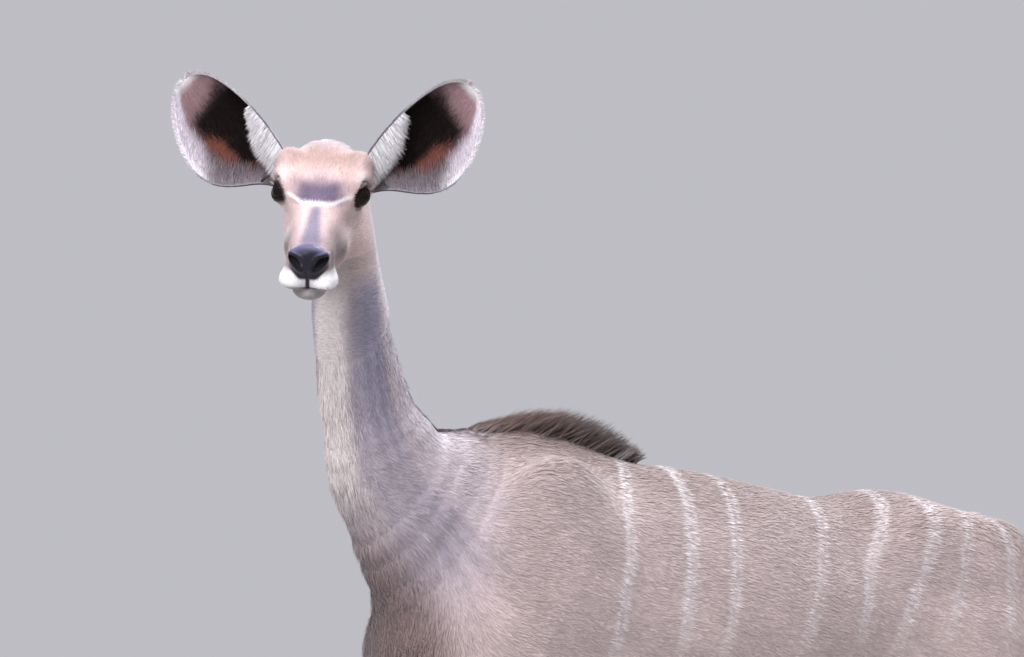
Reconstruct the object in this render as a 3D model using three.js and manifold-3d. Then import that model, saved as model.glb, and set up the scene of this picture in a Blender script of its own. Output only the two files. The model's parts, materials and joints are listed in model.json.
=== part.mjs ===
// A life-size greater kudu cow, standing square with her head turned to the left, as faceted solids.
// Millimetres, +Z up. She faces -Y, so her left side is towards +X, and the soles stand on z = 0.
import * as THREE from "three";
import { mergeVertices } from "three/addons/utils/BufferGeometryUtils.js";
import Module from "manifold-3d";

const wasm = await Module();
wasm.setup();

// Driving sizes
const EYE_HEIGHT = 1606; // height of the eyes, head up
const HEAD_HEADING = 55.5; // degrees that the head is turned to the left
const HEAD_PITCH = 17; // degrees that the muzzle points down
const HEAD_ROLL = 3.4; // degrees that the left side of the head hangs lower
const EYE_RADIUS = 20;
const EYE_SPREAD = 54; // from the middle of the head to the middle of each eyeball
const EAR_LENGTH = 196;
const EAR_THICKNESS = 4;
const HOOF_HEIGHT = 54;
const GAP = 0.3; // left between pieces that touch
const BLEND = 46; // how softly one mass of flesh runs into the next
const BULGE = 34; // how far a part may swell where its neighbour grows from it

const v3 = (x, y, z) => new THREE.Vector3(x, y, z);
const radians = THREE.MathUtils.degToRad;
const lean = (degrees, yaw = 0) => new THREE.Euler(radians(degrees), 0, yaw);
const lerp = THREE.MathUtils.lerp;
const clamp = THREE.MathUtils.clamp;

// Seeded random numbers, so that every run gives the same locks
function randomFrom(seed) {
  let state = seed;
  return () => {
    state = (state * 1664525 + 1013904223) >>> 0;
    return state / 4294967296;
  };
}

// Fields: functions that are below zero inside the flesh and above zero outside
function ellipsoid(centre, radii, turn = new THREE.Euler()) {
  const back = new THREE.Matrix4()
    .compose(centre, new THREE.Quaternion().setFromEuler(turn), v3(1, 1, 1))
    .invert();
  const p = v3(0, 0, 0);
  return (q) => {
    p.copy(q).applyMatrix4(back);
    const share = Math.hypot(p.x / radii.x, p.y / radii.y, p.z / radii.z);
    const slope = Math.hypot(p.x / radii.x ** 2, p.y / radii.y ** 2, p.z / radii.z ** 2);
    return slope < 1e-9 ? -Math.min(radii.x, radii.y, radii.z) : (share * (share - 1)) / slope;
  };
}

function softMin(a, b, k) {
  const h = Math.max(k - Math.abs(a - b), 0) / k;
  return Math.min(a, b) - (h * h * k) / 4;
}

const joined = (fields, k) => (p) => fields.reduce((d, field) => softMin(d, field(p), k), 1e6);

const seenFrom = (matrix, field) => {
  const back = matrix.clone().invert();
  const p = v3(0, 0, 0);
  return (q) => field(p.copy(q).applyMatrix4(back));
};

// A limb, neck or tail: stations of [x, y, z, half width, half depth, turn of the section in degrees]
class Limb {
  constructor(stations, steps = 4) {
    this.stations = stations.map(([x, y, z, wide, deep, turn = 0]) => ({
      at: v3(x, y, z),
      wide,
      deep,
      turn,
    }));
    this.curve = new THREE.CatmullRomCurve3(
      this.stations.map((s) => s.at),
      false,
      "catmullrom",
      0.5,
    );
    this.samples = [];
    const count = (stations.length - 1) * steps;
    for (let i = 0; i <= count; i++) this.samples.push(this.frame(i / count));
  }
  // The section at a share of the way along: its middle, its axes and its half sizes
  frame(share) {
    const last = this.stations.length - 1;
    const at = clamp(share, 0, 1) * last;
    const i = Math.min(Math.floor(at), last - 1);
    const [a, b] = [this.stations[i], this.stations[i + 1]];
    const soft = THREE.MathUtils.smoothstep(at - i, 0, 1);
    const along = this.curve.getTangent(clamp(share, 0, 1)).normalize();
    const turn = radians(lerp(a.turn, b.turn, soft));
    const side = v3(Math.cos(turn), Math.sin(turn), 0);
    side.addScaledVector(along, -side.dot(along)).normalize();
    const front = new THREE.Vector3().crossVectors(along, side).normalize();
    return {
      at: this.curve.getPoint(clamp(share, 0, 1)),
      along,
      side,
      front,
      wide: lerp(a.wide, b.wide, soft),
      deep: lerp(a.deep, b.deep, soft),
    };
  }
  field() {
    const d = v3(0, 0, 0);
    const step = v3(0, 0, 0);
    return (p) => {
      let best = 1e6;
      for (let i = 0; i + 1 < this.samples.length; i++) {
        const [a, b] = [this.samples[i], this.samples[i + 1]];
        step.subVectors(b.at, a.at);
        const t = clamp(d.subVectors(p, a.at).dot(step) / step.lengthSq(), 0, 1);
        d.subVectors(p, a.at).addScaledVector(step, -t);
        const wide = lerp(a.wide, b.wide, t);
        const deep = lerp(a.deep, b.deep, t);
        const across = lerp(d.dot(a.side), d.dot(b.side), t);
        const fore = lerp(d.dot(a.front), d.dot(b.front), t);
        const past = lerp(d.dot(a.along), d.dot(b.along), t);
        const share = Math.hypot(across / wide, fore / deep, past / Math.min(wide, deep));
        const slope = Math.hypot(across / wide ** 2, fore / deep ** 2, past / Math.min(wide, deep) ** 2);
        const near = slope < 1e-9 ? -Math.min(wide, deep) : (share * (share - 1)) / slope;
        best = Math.min(best, near);
      }
      return best;
    };
  }
}

// The head's own frame: the middle between the eyes, muzzle towards -Y
const headPlace = new THREE.Matrix4()
  .makeTranslation(78, -706, EYE_HEIGHT)
  .multiply(new THREE.Matrix4().makeRotationZ(radians(HEAD_HEADING)))
  .multiply(new THREE.Matrix4().makeRotationX(radians(HEAD_PITCH)))
  .multiply(new THREE.Matrix4().makeRotationY(radians(HEAD_ROLL)));

// Masses of the head, in the head's own frame
const bothSides = (make) => [make(1), make(-1)];
const headMasses = joined(
  [
    ellipsoid(v3(0, 62, 2), v3(60, 66, 50)), // brain case
    ellipsoid(v3(0, 44, 18), v3(50, 40, 31)), // crown
    ellipsoid(v3(0, -14, -4), v3(50, 58, 41), lean(18)), // forehead
    ...bothSides((s) => ellipsoid(v3(s * 51, 2, 2), v3(25, 33, 27))), // rims of the eye sockets
    ...bothSides((s) => ellipsoid(v3(s * 43, 6, 21), v3(25, 32, 17))), // brows
    ...bothSides((s) => ellipsoid(v3(s * 52, 36, 26), v3(24, 30, 30))), // roots of the ears
    ellipsoid(v3(0, -84, -30), v3(38, 98, 37), lean(11)), // nasal bridge
    ellipsoid(v3(0, -156, -56), v3(37, 46, 36), lean(12)), // muzzle
    ...bothSides((s) => ellipsoid(v3(s * 34, 26, -56), v3(25, 60, 46), lean(-12))), // cheeks
    ...bothSides((s) => ellipsoid(v3(s * 26, -60, -62), v3(24, 62, 30))), // sides of the face
    ellipsoid(v3(0, -30, -84), v3(34, 104, 29)), // lower jaw
    ellipsoid(v3(0, 80, -44), v3(44, 58, 52)), // throat latch
  ],
  20,
);
const lipMasses = joined(
  [
    ...bothSides((s) => ellipsoid(v3(s * 21, -172, -76), v3(25, 34, 18), lean(4, s * 0.22))),
    ellipsoid(v3(0, -186, -44), v3(31, 22, 28), lean(14)), // nose pad
    ellipsoid(v3(0, -152, -100), v3(28, 40, 17), lean(-4)), // chin
  ],
  10,
);
const headField = seenFrom(headPlace, (p) => softMin(headMasses(p), lipMasses(p), 14));

const neck = new Limb([
  [0, -262, 960, 130, 190, 0],
  [0, -362, 1030, 124, 186, 0],
  [0, -456, 1092, 98, 152, 2],
  [0, -546, 1180, 76, 108, 8],
  [5, -592, 1286, 62, 84, 18],
  [13, -618, 1400, 55, 78, 32],
  [20, -636, 1505, 51, 72, 46],
  [12, -650, 1580, 49, 62, 54],
  [-4, -654, 1634, 42, 42, 55.5],
]);
const neckField = neck.field();

const torsoField = joined(
  [
    ellipsoid(v3(0, -150, 962), v3(176, 400, 226)), // rib cage
    ellipsoid(v3(0, 70, 925), v3(186, 340, 188)), // belly
    ellipsoid(v3(0, 160, 1052), v3(92, 360, 58), lean(-2)), // loin
    ellipsoid(v3(0, 356, 1012), v3(132, 150, 112), lean(-20)), // croup
    ellipsoid(v3(0, -312, 1136), v3(60, 168, 112), lean(-9)), // withers
    ...bothSides((s) => ellipsoid(v3(s * 104, -345, 1005), v3(60, 112, 205), lean(-16))), // shoulder
    ...bothSides((s) => ellipsoid(v3(s * 98, -440, 885), v3(62, 92, 100), lean(20))), // upper arm
    ellipsoid(v3(0, -440, 895), v3(92, 122, 140)), // brisket
    ...bothSides((s) => ellipsoid(v3(s * 104, 405, 915), v3(70, 168, 180), lean(14))), // thigh
    ...bothSides((s) => ellipsoid(v3(s * 60, 530, 965), v3(60, 66, 108), lean(8))), // buttock
    ellipsoid(v3(0, 372, 808), v3(56, 70, 40)), // udder
  ],
  70,
);

// Left legs; the right ones stand a little behind or ahead of them
const foreStations = (ahead) => [
  [116, -396 + ahead * 0.1, 850, 52, 84],
  [114, -398 + ahead * 0.2, 760, 45, 66],
  [110, -404 + ahead * 0.4, 670, 37, 50],
  [106, -408 + ahead * 0.6, 570, 28, 35],
  [103, -411 + ahead * 0.8, 490, 24, 28],
  [102, -414 + ahead * 0.9, 440, 27, 31],
  [101, -411 + ahead * 0.95, 392, 22, 25],
  [100, -408 + ahead, 335, 16, 19],
  [99, -408 + ahead, 250, 15, 18],
  [98, -410 + ahead, 175, 17, 20],
  [97, -413 + ahead, 133, 22, 26],
  [97, -430 + ahead, 92, 19, 21],
  [97, -444 + ahead, 48, 27, 29],
];
const hindStations = (ahead) => [
  [112, 430, 900, 64, 140],
  [120, 412 + ahead * 0.1, 800, 54, 118],
  [118, 446 + ahead * 0.2, 700, 40, 76],
  [112, 502 + ahead * 0.4, 605, 29, 47],
  [106, 553 + ahead * 0.6, 525, 22, 33],
  [103, 572 + ahead * 0.8, 462, 25, 35],
  [102, 566 + ahead * 0.9, 408, 21, 27],
  [101, 558 + ahead, 340, 17, 20],
  [100, 550 + ahead, 250, 16, 19],
  [99, 543 + ahead, 178, 18, 21],
  [98, 538 + ahead, 136, 23, 27],
  [98, 520 + ahead, 94, 20, 22],
  [98, 506 + ahead, 48, 28, 30],
];
const flip = (stations) => stations.map(([x, ...rest]) => [-x, ...rest]);
const heel = (s, ahead) =>
  ellipsoid(v3(s * 104, 602 + ahead * 0.7, 492), v3(12, 17, 34), lean(-18));

const legs = [
  { name: "foreleg_left", limb: new Limb(foreStations(0)), side: 1, knee: 440 },
  { name: "foreleg_right", limb: new Limb(flip(foreStations(-46))), side: -1, knee: 440 },
  { name: "hindleg_left", limb: new Limb(hindStations(34)), side: 1, knee: 466, extra: heel(1, 34) },
  {
    name: "hindleg_right",
    limb: new Limb(flip(hindStations(-22))),
    side: -1,
    knee: 466,
    extra: heel(-1, -22),
  },
];
for (const leg of legs) {
  const plain = leg.limb.field();
  leg.field = leg.extra ? (p) => softMin(plain(p), leg.extra(p), 16) : plain;
}

const tail = new Limb([
  [0, 500, 1046, 34, 36],
  [0, 590, 1024, 24, 26],
  [0, 650, 962, 17, 19],
  [0, 668, 880, 13, 14],
  [0, 670, 800, 10, 11],
  [0, 666, 750, 7, 8],
]);
const tailField = tail.field();

const flesh = joined([torsoField, neckField, headField, ...legs.map((leg) => leg.field), tailField], BLEND);

// How far the surface is from a point inside, along a direction
function reach(field, from, direction, start = 0, most = 900) {
  const p = v3(0, 0, 0);
  const at = (r) => field(p.copy(from).addScaledVector(direction, r));
  let far = start;
  while (far < most && at(far) < 0) far += Math.max(2, -0.6 * at(far));
  let near = Math.max(start, far - 60);
  while (near > start && at(near) > 0) near -= 10;
  for (let i = 0; i < 22; i++) {
    const middle = (near + far) / 2;
    if (at(middle) < 0) near = middle;
    else far = middle;
  }
  return (near + far) / 2;
}

function surfacePoint(from, direction, own, grow, bulge = BULGE) {
  const grown = (field) => (p) => field(p) - grow;
  const plain = reach(grown(own), from, direction);
  const whole = reach(grown(flesh), from, direction, Math.max(plain - 1, 0), plain + bulge);
  return from.clone().addScaledVector(direction, Math.min(Math.max(whole, plain), plain + bulge));
}

// A closed geometry from rings of points, with a point to close each end
function closedRings(rings, first, last) {
  const sides = rings[0].length;
  const points = [first, ...rings.flat(), last];
  const end = points.length - 1;
  const index = [];
  for (let j = 0; j < sides; j++) {
    const k = (j + 1) % sides;
    index.push(0, 1 + k, 1 + j);
    for (let i = 0; i + 1 < rings.length; i++) {
      const a = 1 + i * sides;
      const b = a + sides;
      index.push(a + j, a + k, b + k, a + j, b + k, b + j);
    }
    const a = 1 + (rings.length - 1) * sides;
    index.push(end, a + j, a + k);
  }
  return new THREE.BufferGeometry().setFromPoints(points).setIndex(index);
}

// A manifold-3d solid from a geometry, and a geometry from a solid
function solid(geometry) {
  const bare = new THREE.BufferGeometry().setAttribute("position", geometry.getAttribute("position"));
  bare.setIndex(geometry.getIndex());
  const merged = mergeVertices(bare, 1e-4);
  const made = new wasm.Manifold(
    new wasm.Mesh({
      numProp: 3,
      vertProperties: new Float32Array(merged.attributes.position.array),
      triVerts: new Uint32Array(merged.index.array),
    }),
  );
  if (made.volume() > 0) return made;
  const turned = new Uint32Array(merged.index.array);
  for (let i = 0; i < turned.length; i += 3) [turned[i + 1], turned[i + 2]] = [turned[i + 2], turned[i + 1]];
  return new wasm.Manifold(
    new wasm.Mesh({
      numProp: 3,
      vertProperties: new Float32Array(merged.attributes.position.array),
      triVerts: turned,
    }),
  );
}

function largest(shape) {
  return shape.decompose().reduce((a, b) => (a.volume() > b.volume() ? a : b));
}

function geometryOf(shape) {
  const mesh = shape.getMesh();
  const points = new Float32Array(mesh.numVert * 3);
  for (let i = 0; i < mesh.numVert; i++)
    points.set(mesh.vertProperties.subarray(i * mesh.numProp, i * mesh.numProp + 3), i * 3);
  return new THREE.BufferGeometry()
    .setAttribute("position", new THREE.BufferAttribute(points, 3))
    .setIndex(new THREE.BufferAttribute(mesh.triVerts, 1));
}

const mergedAll = (shapes) => shapes.reduce((a, b) => a.add(b));

// Keeps what is on the side of a plane that its normal points to, half a gap away from it
function keep(shape, normal, point) {
  const n = normal.clone().normalize();
  return shape.trimByPlane([n.x, n.y, n.z], n.dot(point) + GAP / 2);
}

// Rings round an axis, each {at, side, front, tilt, along}: a tilted ring fans out to close an end
function flow(stations, own, sides, grow = 0, bulge = BULGE) {
  const rings = stations.map((s) => {
    const ring = [];
    for (let j = 0; j < sides; j++) {
      const angle = (2 * Math.PI * j) / sides;
      const direction = s.side
        .clone()
        .multiplyScalar(Math.cos(angle))
        .addScaledVector(s.front, Math.sin(angle));
      direction.multiplyScalar(Math.cos(s.tilt ?? 0)).addScaledVector(s.along, Math.sin(s.tilt ?? 0));
      ring.push(surfacePoint(s.at, direction.normalize(), own, grow, s.bulge ?? bulge));
    }
    return ring;
  });
  const [first, last] = [stations[0], stations[stations.length - 1]];
  const open = (s, sign) =>
    s.tilt ? surfacePoint(s.at, s.along.clone().multiplyScalar(sign), own, grow, bulge) : s.at.clone();
  return solid(closedRings(rings, open(first, -1), open(last, 1)));
}

// Stations along a straight axis with fans at its ends, front end first
function straightAxis(points, upHint, fans) {
  const line = new THREE.CatmullRomCurve3(points, false, "catmullrom", 0.5);
  const stations = [];
  const station = (share, tilt) => {
    const along = line.getTangent(share).normalize();
    const side = new THREE.Vector3().crossVectors(along, upHint).normalize();
    const front = new THREE.Vector3().crossVectors(side, along).normalize();
    stations.push({ at: line.getPoint(share), along, side, front, tilt });
  };
  for (const tilt of fans.front) station(0, -radians(tilt));
  for (let i = 0; i <= fans.steps; i++) station(i / fans.steps, 0);
  for (const tilt of fans.back) station(1, radians(tilt));
  return stations;
}

// A flat, tapered lock of hair: a bent blade with a diamond section, root first
function lock({ root, along, flat, length, width, bend, thick = 0.28, steps = 4 }) {
  const forward = along.clone().normalize();
  const across = new THREE.Vector3().crossVectors(forward, flat).normalize();
  const out = new THREE.Vector3().crossVectors(across, forward).normalize();
  const rings = [];
  for (let i = 0; i < steps; i++) {
    const t = i / steps;
    const half = (width / 2) * (0.72 + 0.5 * t) * Math.sqrt(1 - t ** 2.2);
    const middle = root
      .clone()
      .addScaledVector(forward, length * t)
      .addScaledVector(out, bend * length * t * t);
    rings.push([
      middle.clone().addScaledVector(across, half),
      middle.clone().addScaledVector(out, half * thick),
      middle.clone().addScaledVector(across, -half),
      middle.clone().addScaledVector(out, -half * thick),
    ]);
  }
  const tip = root.clone().addScaledVector(forward, length).addScaledVector(out, bend * length);
  return solid(closedRings(rings, root.clone(), tip));
}

// Torso, neck and head as they run into each other
const TORSO_SIDES = 28;
const torsoStations = straightAxis(
  [v3(0, -392, 1030), v3(0, -210, 985), v3(0, 100, 955), v3(0, 430, 960)],
  v3(0, 0, 1),
  { front: [72, 52, 34, 16], steps: 17, back: [14, 28, 42, 56, 72] },
);
const torsoSolid = flow(torsoStations, torsoField, TORSO_SIDES);

const limbStations = (limb, from, to, count) =>
  Array.from({ length: count + 1 }, (_, i) => limb.frame(lerp(from, to, i / count)));

const neckSolid = flow(limbStations(neck, 0.12, 0.98, 18), neckField, 20);

const toWorld = (p) => p.clone().applyMatrix4(headPlace);
const turnToWorld = (d) => d.clone().transformDirection(headPlace);
const HEAD_AXIS = [v3(0, 84, -24), v3(0, 40, -26), v3(0, -30, -36), v3(0, -100, -54), v3(0, -158, -70)];
const headStations = straightAxis(HEAD_AXIS, v3(0, 0, 1), {
  front: [72, 50, 28],
  steps: 22,
  back: [16, 32, 48, 64],
}).map((s) => ({
  at: toWorld(s.at),
  along: turnToWorld(s.along),
  side: turnToWorld(s.side),
  front: turnToWorld(s.front),
  tilt: s.tilt,
}));
const HEAD_SIDES = 34;
const headWhole = flow(headStations, headField, HEAD_SIDES, 0, 20);
const headGrown = flow(headStations, headField, HEAD_SIDES, GAP + 0.4, 20);

// Puts a solid made in the head's own frame into place
const placed = (shape) => shape.transform([...headPlace.elements]);

// An almond cutter that opens the lids, pointing out of the eye
const eyeOut = (s) => v3(s * 0.86, -0.48, 0.1).normalize();
const eyeAt = (s) => v3(s * EYE_SPREAD, 0, 0);
function eyeOpening(s) {
  const out = eyeOut(s);
  const long = v3(s * 0.42, 0.86, 0.2).normalize(); // towards the outer corner
  long.addScaledVector(out, -long.dot(out)).normalize();
  const high = new THREE.Vector3().crossVectors(out, long).normalize();
  if (high.z < 0) high.negate();
  const SIDES = 14;
  const ring = (distance, scale) =>
    Array.from({ length: SIDES }, (_, j) => {
      const a = (2 * Math.PI * j) / SIDES;
      const upper = Math.sin(a) > 0 ? 13 : 11;
      return eyeAt(s)
        .addScaledVector(out, distance)
        .addScaledVector(long, 18.5 * scale * Math.cos(a))
        .addScaledVector(high, upper * scale * Math.sign(Math.sin(a)) * Math.abs(Math.sin(a)) ** 1.15 + 0.5);
    });
  const rings = [ring(6, 0.86), ring(16, 0.98), ring(34, 1.25)];
  return solid(closedRings(rings, eyeAt(s).addScaledVector(out, 6), eyeAt(s).addScaledVector(out, 34)));
}

function ball(centre, radius, wide, high) {
  const geometry = new THREE.SphereGeometry(radius, wide, high);
  geometry.translate(centre.x, centre.y, centre.z);
  return solid(geometry);
}

// A nostril: a comma that runs from beside the nose pad back along the muzzle
function nostril(s) {
  const path = [
    [s * 10, -214, -44, 6.5, 5],
    [s * 14, -200, -40, 7.5, 7],
    [s * 22, -188, -33, 6.5, 8],
    [s * 27, -172, -27, 3, 3.4],
  ];
  const SIDES = 8;
  const rings = path.map(([x, y, z, wide, high]) =>
    Array.from({ length: SIDES }, (_, j) => {
      const a = (2 * Math.PI * j) / SIDES;
      return v3(x + wide * Math.cos(a), y, z + high * Math.sin(a));
    }),
  );
  const [first, last] = [path[0], path[path.length - 1]];
  return solid(closedRings(rings, v3(...first.slice(0, 3)), v3(...last.slice(0, 3))));
}

// The ear: a funnel at its root that opens into a wide scoop. Each row is a share of the length with
// the reach of its inner edge, of its outer edge, and how deep the scoop is.
const EAR_ROWS = [
  [-0.2, 14, 16, 14],
  [0.0, 22, 36, 24],
  [0.12, 29, 66, 34],
  [0.26, 35, 88, 38],
  [0.42, 39, 94, 36],
  [0.58, 40, 86, 31],
  [0.72, 38, 73, 24],
  [0.84, 33, 56, 17],
  [0.92, 25, 40, 11],
  [0.975, 15, 24, 6],
  [1.0, 6, 9, 3],
];
const earPlace = headPlace.clone().multiply(new THREE.Matrix4().makeRotationX(radians(-HEAD_PITCH)));
function ear(s) {
  const COLUMNS = 10;
  const base = v3(s * 74, 40, 38);
  const along = v3(s * (0.75 - s * 0.03), 0.14, 0.65 + s * 0.03).normalize();
  const open = v3(s * 0.22, -0.96, 0.05);
  open.addScaledVector(along, -open.dot(along)).normalize();
  const outer = new THREE.Vector3().crossVectors(along, open).normalize();
  if (outer.z > 0) outer.negate();
  const middle = ([t, inner, wide, deep], u) => {
    const reach = u < 0 ? inner : wide;
    return base
      .clone()
      .addScaledVector(along, EAR_LENGTH * t)
      .addScaledVector(outer, reach * Math.sin((u * Math.PI) / 2))
      .addScaledVector(open, -deep * Math.cos((u * Math.PI) / 2) ** 1.3 - 12 * t * t);
  };
  const rings = EAR_ROWS.map((row) => {
    const at = (u) => middle(row, u);
    const skin = (u, side) => {
      const run = at(Math.min(u + 0.02, 1)).sub(at(Math.max(u - 0.02, -1)));
      const out = new THREE.Vector3().crossVectors(along, run).normalize();
      if (out.dot(open) < 0) out.negate();
      return at(u).addScaledVector(out, (side * EAR_THICKNESS) / 2);
    };
    const ring = [];
    for (let j = 0; j <= COLUMNS; j++) ring.push(skin(lerp(-1, 1, j / COLUMNS), -1));
    for (let j = COLUMNS; j >= 0; j--) ring.push(skin(lerp(-1, 1, j / COLUMNS), 1));
    return ring;
  });
  const first = middle(EAR_ROWS[0], 0);
  const last = middle(EAR_ROWS[EAR_ROWS.length - 1], 0).addScaledVector(along, 1.5);
  return solid(closedRings(rings, first, last));
}

// The plane between head and neck, and the line of the mouth, in the head's own frame
const HEAD_CUT_AT = toWorld(v3(0, 84, -48));
const HEAD_CUT_OUT = turnToWorld(v3(0, -0.84, 0.54)); // towards the head
const MOUTH_AT = toWorld(v3(0, -196, -86));
const MOUTH_UP = turnToWorld(v3(0, 0.05, 1).normalize());
const MOUTH_DOWN = MOUTH_UP.clone().negate();

const headCut = keep(headWhole, HEAD_CUT_OUT, HEAD_CUT_AT);
let headUpper = keep(headCut, MOUTH_UP, MOUTH_AT);
const jawSolid = keep(headCut, MOUTH_DOWN, MOUTH_AT);
for (const s of [1, -1]) {
  headUpper = headUpper
    .subtract(placed(eyeOpening(s)))
    .subtract(placed(ball(eyeAt(s), EYE_RADIUS + GAP, 14, 10)))
    .subtract(placed(nostril(s)));
}

const material = (color, roughness) =>
  new THREE.MeshStandardMaterial({ color, roughness, metalness: 0 });
const coat = material(0xa98f80, 0.9);
const paleCoat = material(0xcbb9a8, 0.9);
const earSkin = material(0x8c6f62, 0.9);
const horn = material(0x241f1c, 0.55);
const eyeball = material(0x120c09, 0.1);

const kudu = new THREE.Group();
kudu.name = "kudu";
function add(name, shape, finish) {
  const mesh = new THREE.Mesh(geometryOf(largest(shape)), finish);
  mesh.name = name;
  kudu.add(mesh);
}

add("head", headUpper, coat);
add("lower_jaw", jawSolid, paleCoat);
for (const [s, side] of [[1, "left"], [-1, "right"]]) {
  add("eye_" + side, placed(ball(eyeAt(s), EYE_RADIUS, 14, 10)), eyeball);
  add("ear_" + side, ear(s).transform([...earPlace.elements]).subtract(headGrown), earSkin);
}

// Neck and torso, parted by planes
const NECK_CUT_AT = v3(0, -486, 1120);
const NECK_CUT_OUT = v3(0, -0.62, 0.78).normalize();
const CHEST_CUT = -170;
const RUMP_CUT = 235;
const FORE_CUT = 716;
const HIND_CUT = 744;
const FETLOCK_CUT = 150;
const up = v3(0, 0, 1);
const down = v3(0, 0, -1);
const ahead = v3(0, -1, 0);
const behind = v3(0, 1, 0);

const legSolids = legs.map((leg) => flow(limbStations(leg.limb, 0.02, 0.985, 20), leg.field, 10));
const trunk = mergedAll([torsoSolid, neckSolid, ...legSolids]);

// Locks stand on the flesh with their roots sunk in it
const MANE_LENGTH = 64;
function rowOfLocks(count, seed, place) {
  const random = randomFrom(seed);
  const jitter = (size) => (random() - 0.5) * 2 * size;
  return Array.from({ length: count }, (_, i) => lock(place(i / (count - 1), jitter)));
}

// The top of the back at a distance along the body
function backTop(y, x = 0) {
  const from = v3(x, y, 1020);
  return from.addScaledVector(up, reach(flesh, from, up));
}

const withersMane = [-1, 1].flatMap((s) =>
  rowOfLocks(13, 11 + s, (t, jitter) => {
    const y = lerp(-392, -128, t);
    const size = Math.sin(Math.PI * clamp(0.12 + 0.82 * t, 0, 1)) ** 0.6;
    const top = backTop(y, s * 8);
    return {
      root: top.addScaledVector(up, -14),
      along: v3(s * 0.16 + jitter(0.08), 0.85, 0.66 + jitter(0.08)),
      flat: v3(s * 0.5, -0.3, 1),
      length: MANE_LENGTH * (0.55 + 0.75 * size) + jitter(6),
      width: 27 + jitter(3),
      bend: -0.14,
    };
  }),
);

const napeMane = rowOfLocks(15, 29, (t, jitter) => {
  const section = neck.frame(lerp(0.34, 0.9, t));
  const out = section.front.clone();
  if (out.y < 0) out.negate();
  const from = section.at.clone();
  const skin = from.clone().addScaledVector(out, reach(flesh, from, out));
  return {
    root: skin.addScaledVector(out, -10),
    along: out.clone().addScaledVector(section.along, -1.1 + jitter(0.15)),
    flat: section.side.clone().multiplyScalar(jitter(0.3)).add(out),
    length: lerp(46, 34, t) + jitter(5),
    width: 15 + jitter(2),
    bend: -0.1,
  };
});

const brisketFringe = rowOfLocks(12, 47, (t, jitter) => {
  const section = neck.frame(lerp(0.2, 0.56, t));
  const out = section.front.clone();
  if (out.y > 0) out.negate();
  const skin = section.at.clone().addScaledVector(out, reach(flesh, section.at, out));
  return {
    root: skin.addScaledVector(out, -12).addScaledVector(section.side, jitter(14)),
    along: out.clone().multiplyScalar(0.45).addScaledVector(down, 1 + jitter(0.1)),
    flat: out,
    length: lerp(66, 40, t) + jitter(8),
    width: 20 + jitter(3),
    bend: -0.16,
  };
});

const tailTip = tail.frame(0.97);
const tailTuft = [0, 1].flatMap((ring) =>
  Array.from({ length: 4 }, (_, i) => {
    const angle = (2 * Math.PI * (i + ring / 2)) / 4;
    const out = v3(Math.cos(angle), Math.sin(angle), 0);
    return lock({
      root: tailTip.at.clone().addScaledVector(up, ring * 62 - 6).addScaledVector(out, 1),
      along: down.clone().addScaledVector(out, 0.26 - ring * 0.06),
      flat: out,
      length: 118 - ring * 26,
      width: 30,
      bend: -0.14,
    });
  }),
);

const headSide = HEAD_CUT_OUT.clone().negate();
const neckWhole = mergedAll([trunk, headWhole, ...napeMane, ...brisketFringe]);
add("neck", keep(keep(neckWhole, NECK_CUT_OUT, NECK_CUT_AT), headSide, HEAD_CUT_AT), coat);

const neckSide = NECK_CUT_OUT.clone().negate();
const shoulders = keep(mergedAll([trunk, ...withersMane, ...brisketFringe]), neckSide, NECK_CUT_AT);
const chestAhead = keep(shoulders, ahead, v3(0, CHEST_CUT, 0));
add("chest", keep(chestAhead, up, v3(0, 0, FORE_CUT)), coat);
const ribsAndMane = keep(mergedAll([torsoSolid, ...withersMane]), behind, v3(0, CHEST_CUT, 0));
add("barrel", keep(ribsAndMane, ahead, v3(0, RUMP_CUT, 0)), coat);

const TAIL_CUT_AT = v3(0, 566, 1034);
const TAIL_CUT_OUT = v3(0, 0.8, -0.35).normalize();
const tailWhole = flow(limbStations(tail, 0.0, 0.99, 12), tailField, 12);
const torsoGrown = flow(torsoStations, torsoField, TORSO_SIDES, GAP + 0.4);
const tailPiece = keep(tailWhole, TAIL_CUT_OUT, TAIL_CUT_AT).subtract(torsoGrown);
const tailRoot = keep(tailWhole, TAIL_CUT_OUT.clone().negate(), TAIL_CUT_AT);
add("rump", keep(keep(trunk.add(tailRoot), behind, v3(0, RUMP_CUT, 0)), up, v3(0, 0, HIND_CUT)), coat);
add("tail", mergedAll([largest(tailPiece), ...tailTuft]), coat);

// One claw of a cloven hoof, flat underneath, with its inner side straight
function claw(x, y, inner) {
  const outline = (half, front, back) =>
    [
      [-0.9, -0.55],
      [-0.75, 0.35],
      [-0.35, 0.95],
      [0.35, 1],
      [0.92, 0.45],
      [1, -0.3],
      [0.62, -0.82],
      [-0.15, -1.05],
      [-0.72, -0.9],
    ].map(([across, along]) => [x - inner * (across * half + 14), y + along * (along < 0 ? front : back)]);
  const level = (z, half, front, back) => outline(half, front, back).map(([px, py]) => v3(px, py, z));
  const rings = [
    level(0, 11.4, 44, 28),
    level(4, 12.6, 46, 30),
    level(22, 12.6, 36, 30),
    level(40, 12, 26, 29),
    level(HOOF_HEIGHT - GAP / 2, 11, 19, 27),
  ];
  return solid(closedRings(rings, v3(x - inner * 14, y, 0), v3(x - inner * 14, y, HOOF_HEIGHT - GAP / 2)));
}

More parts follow.
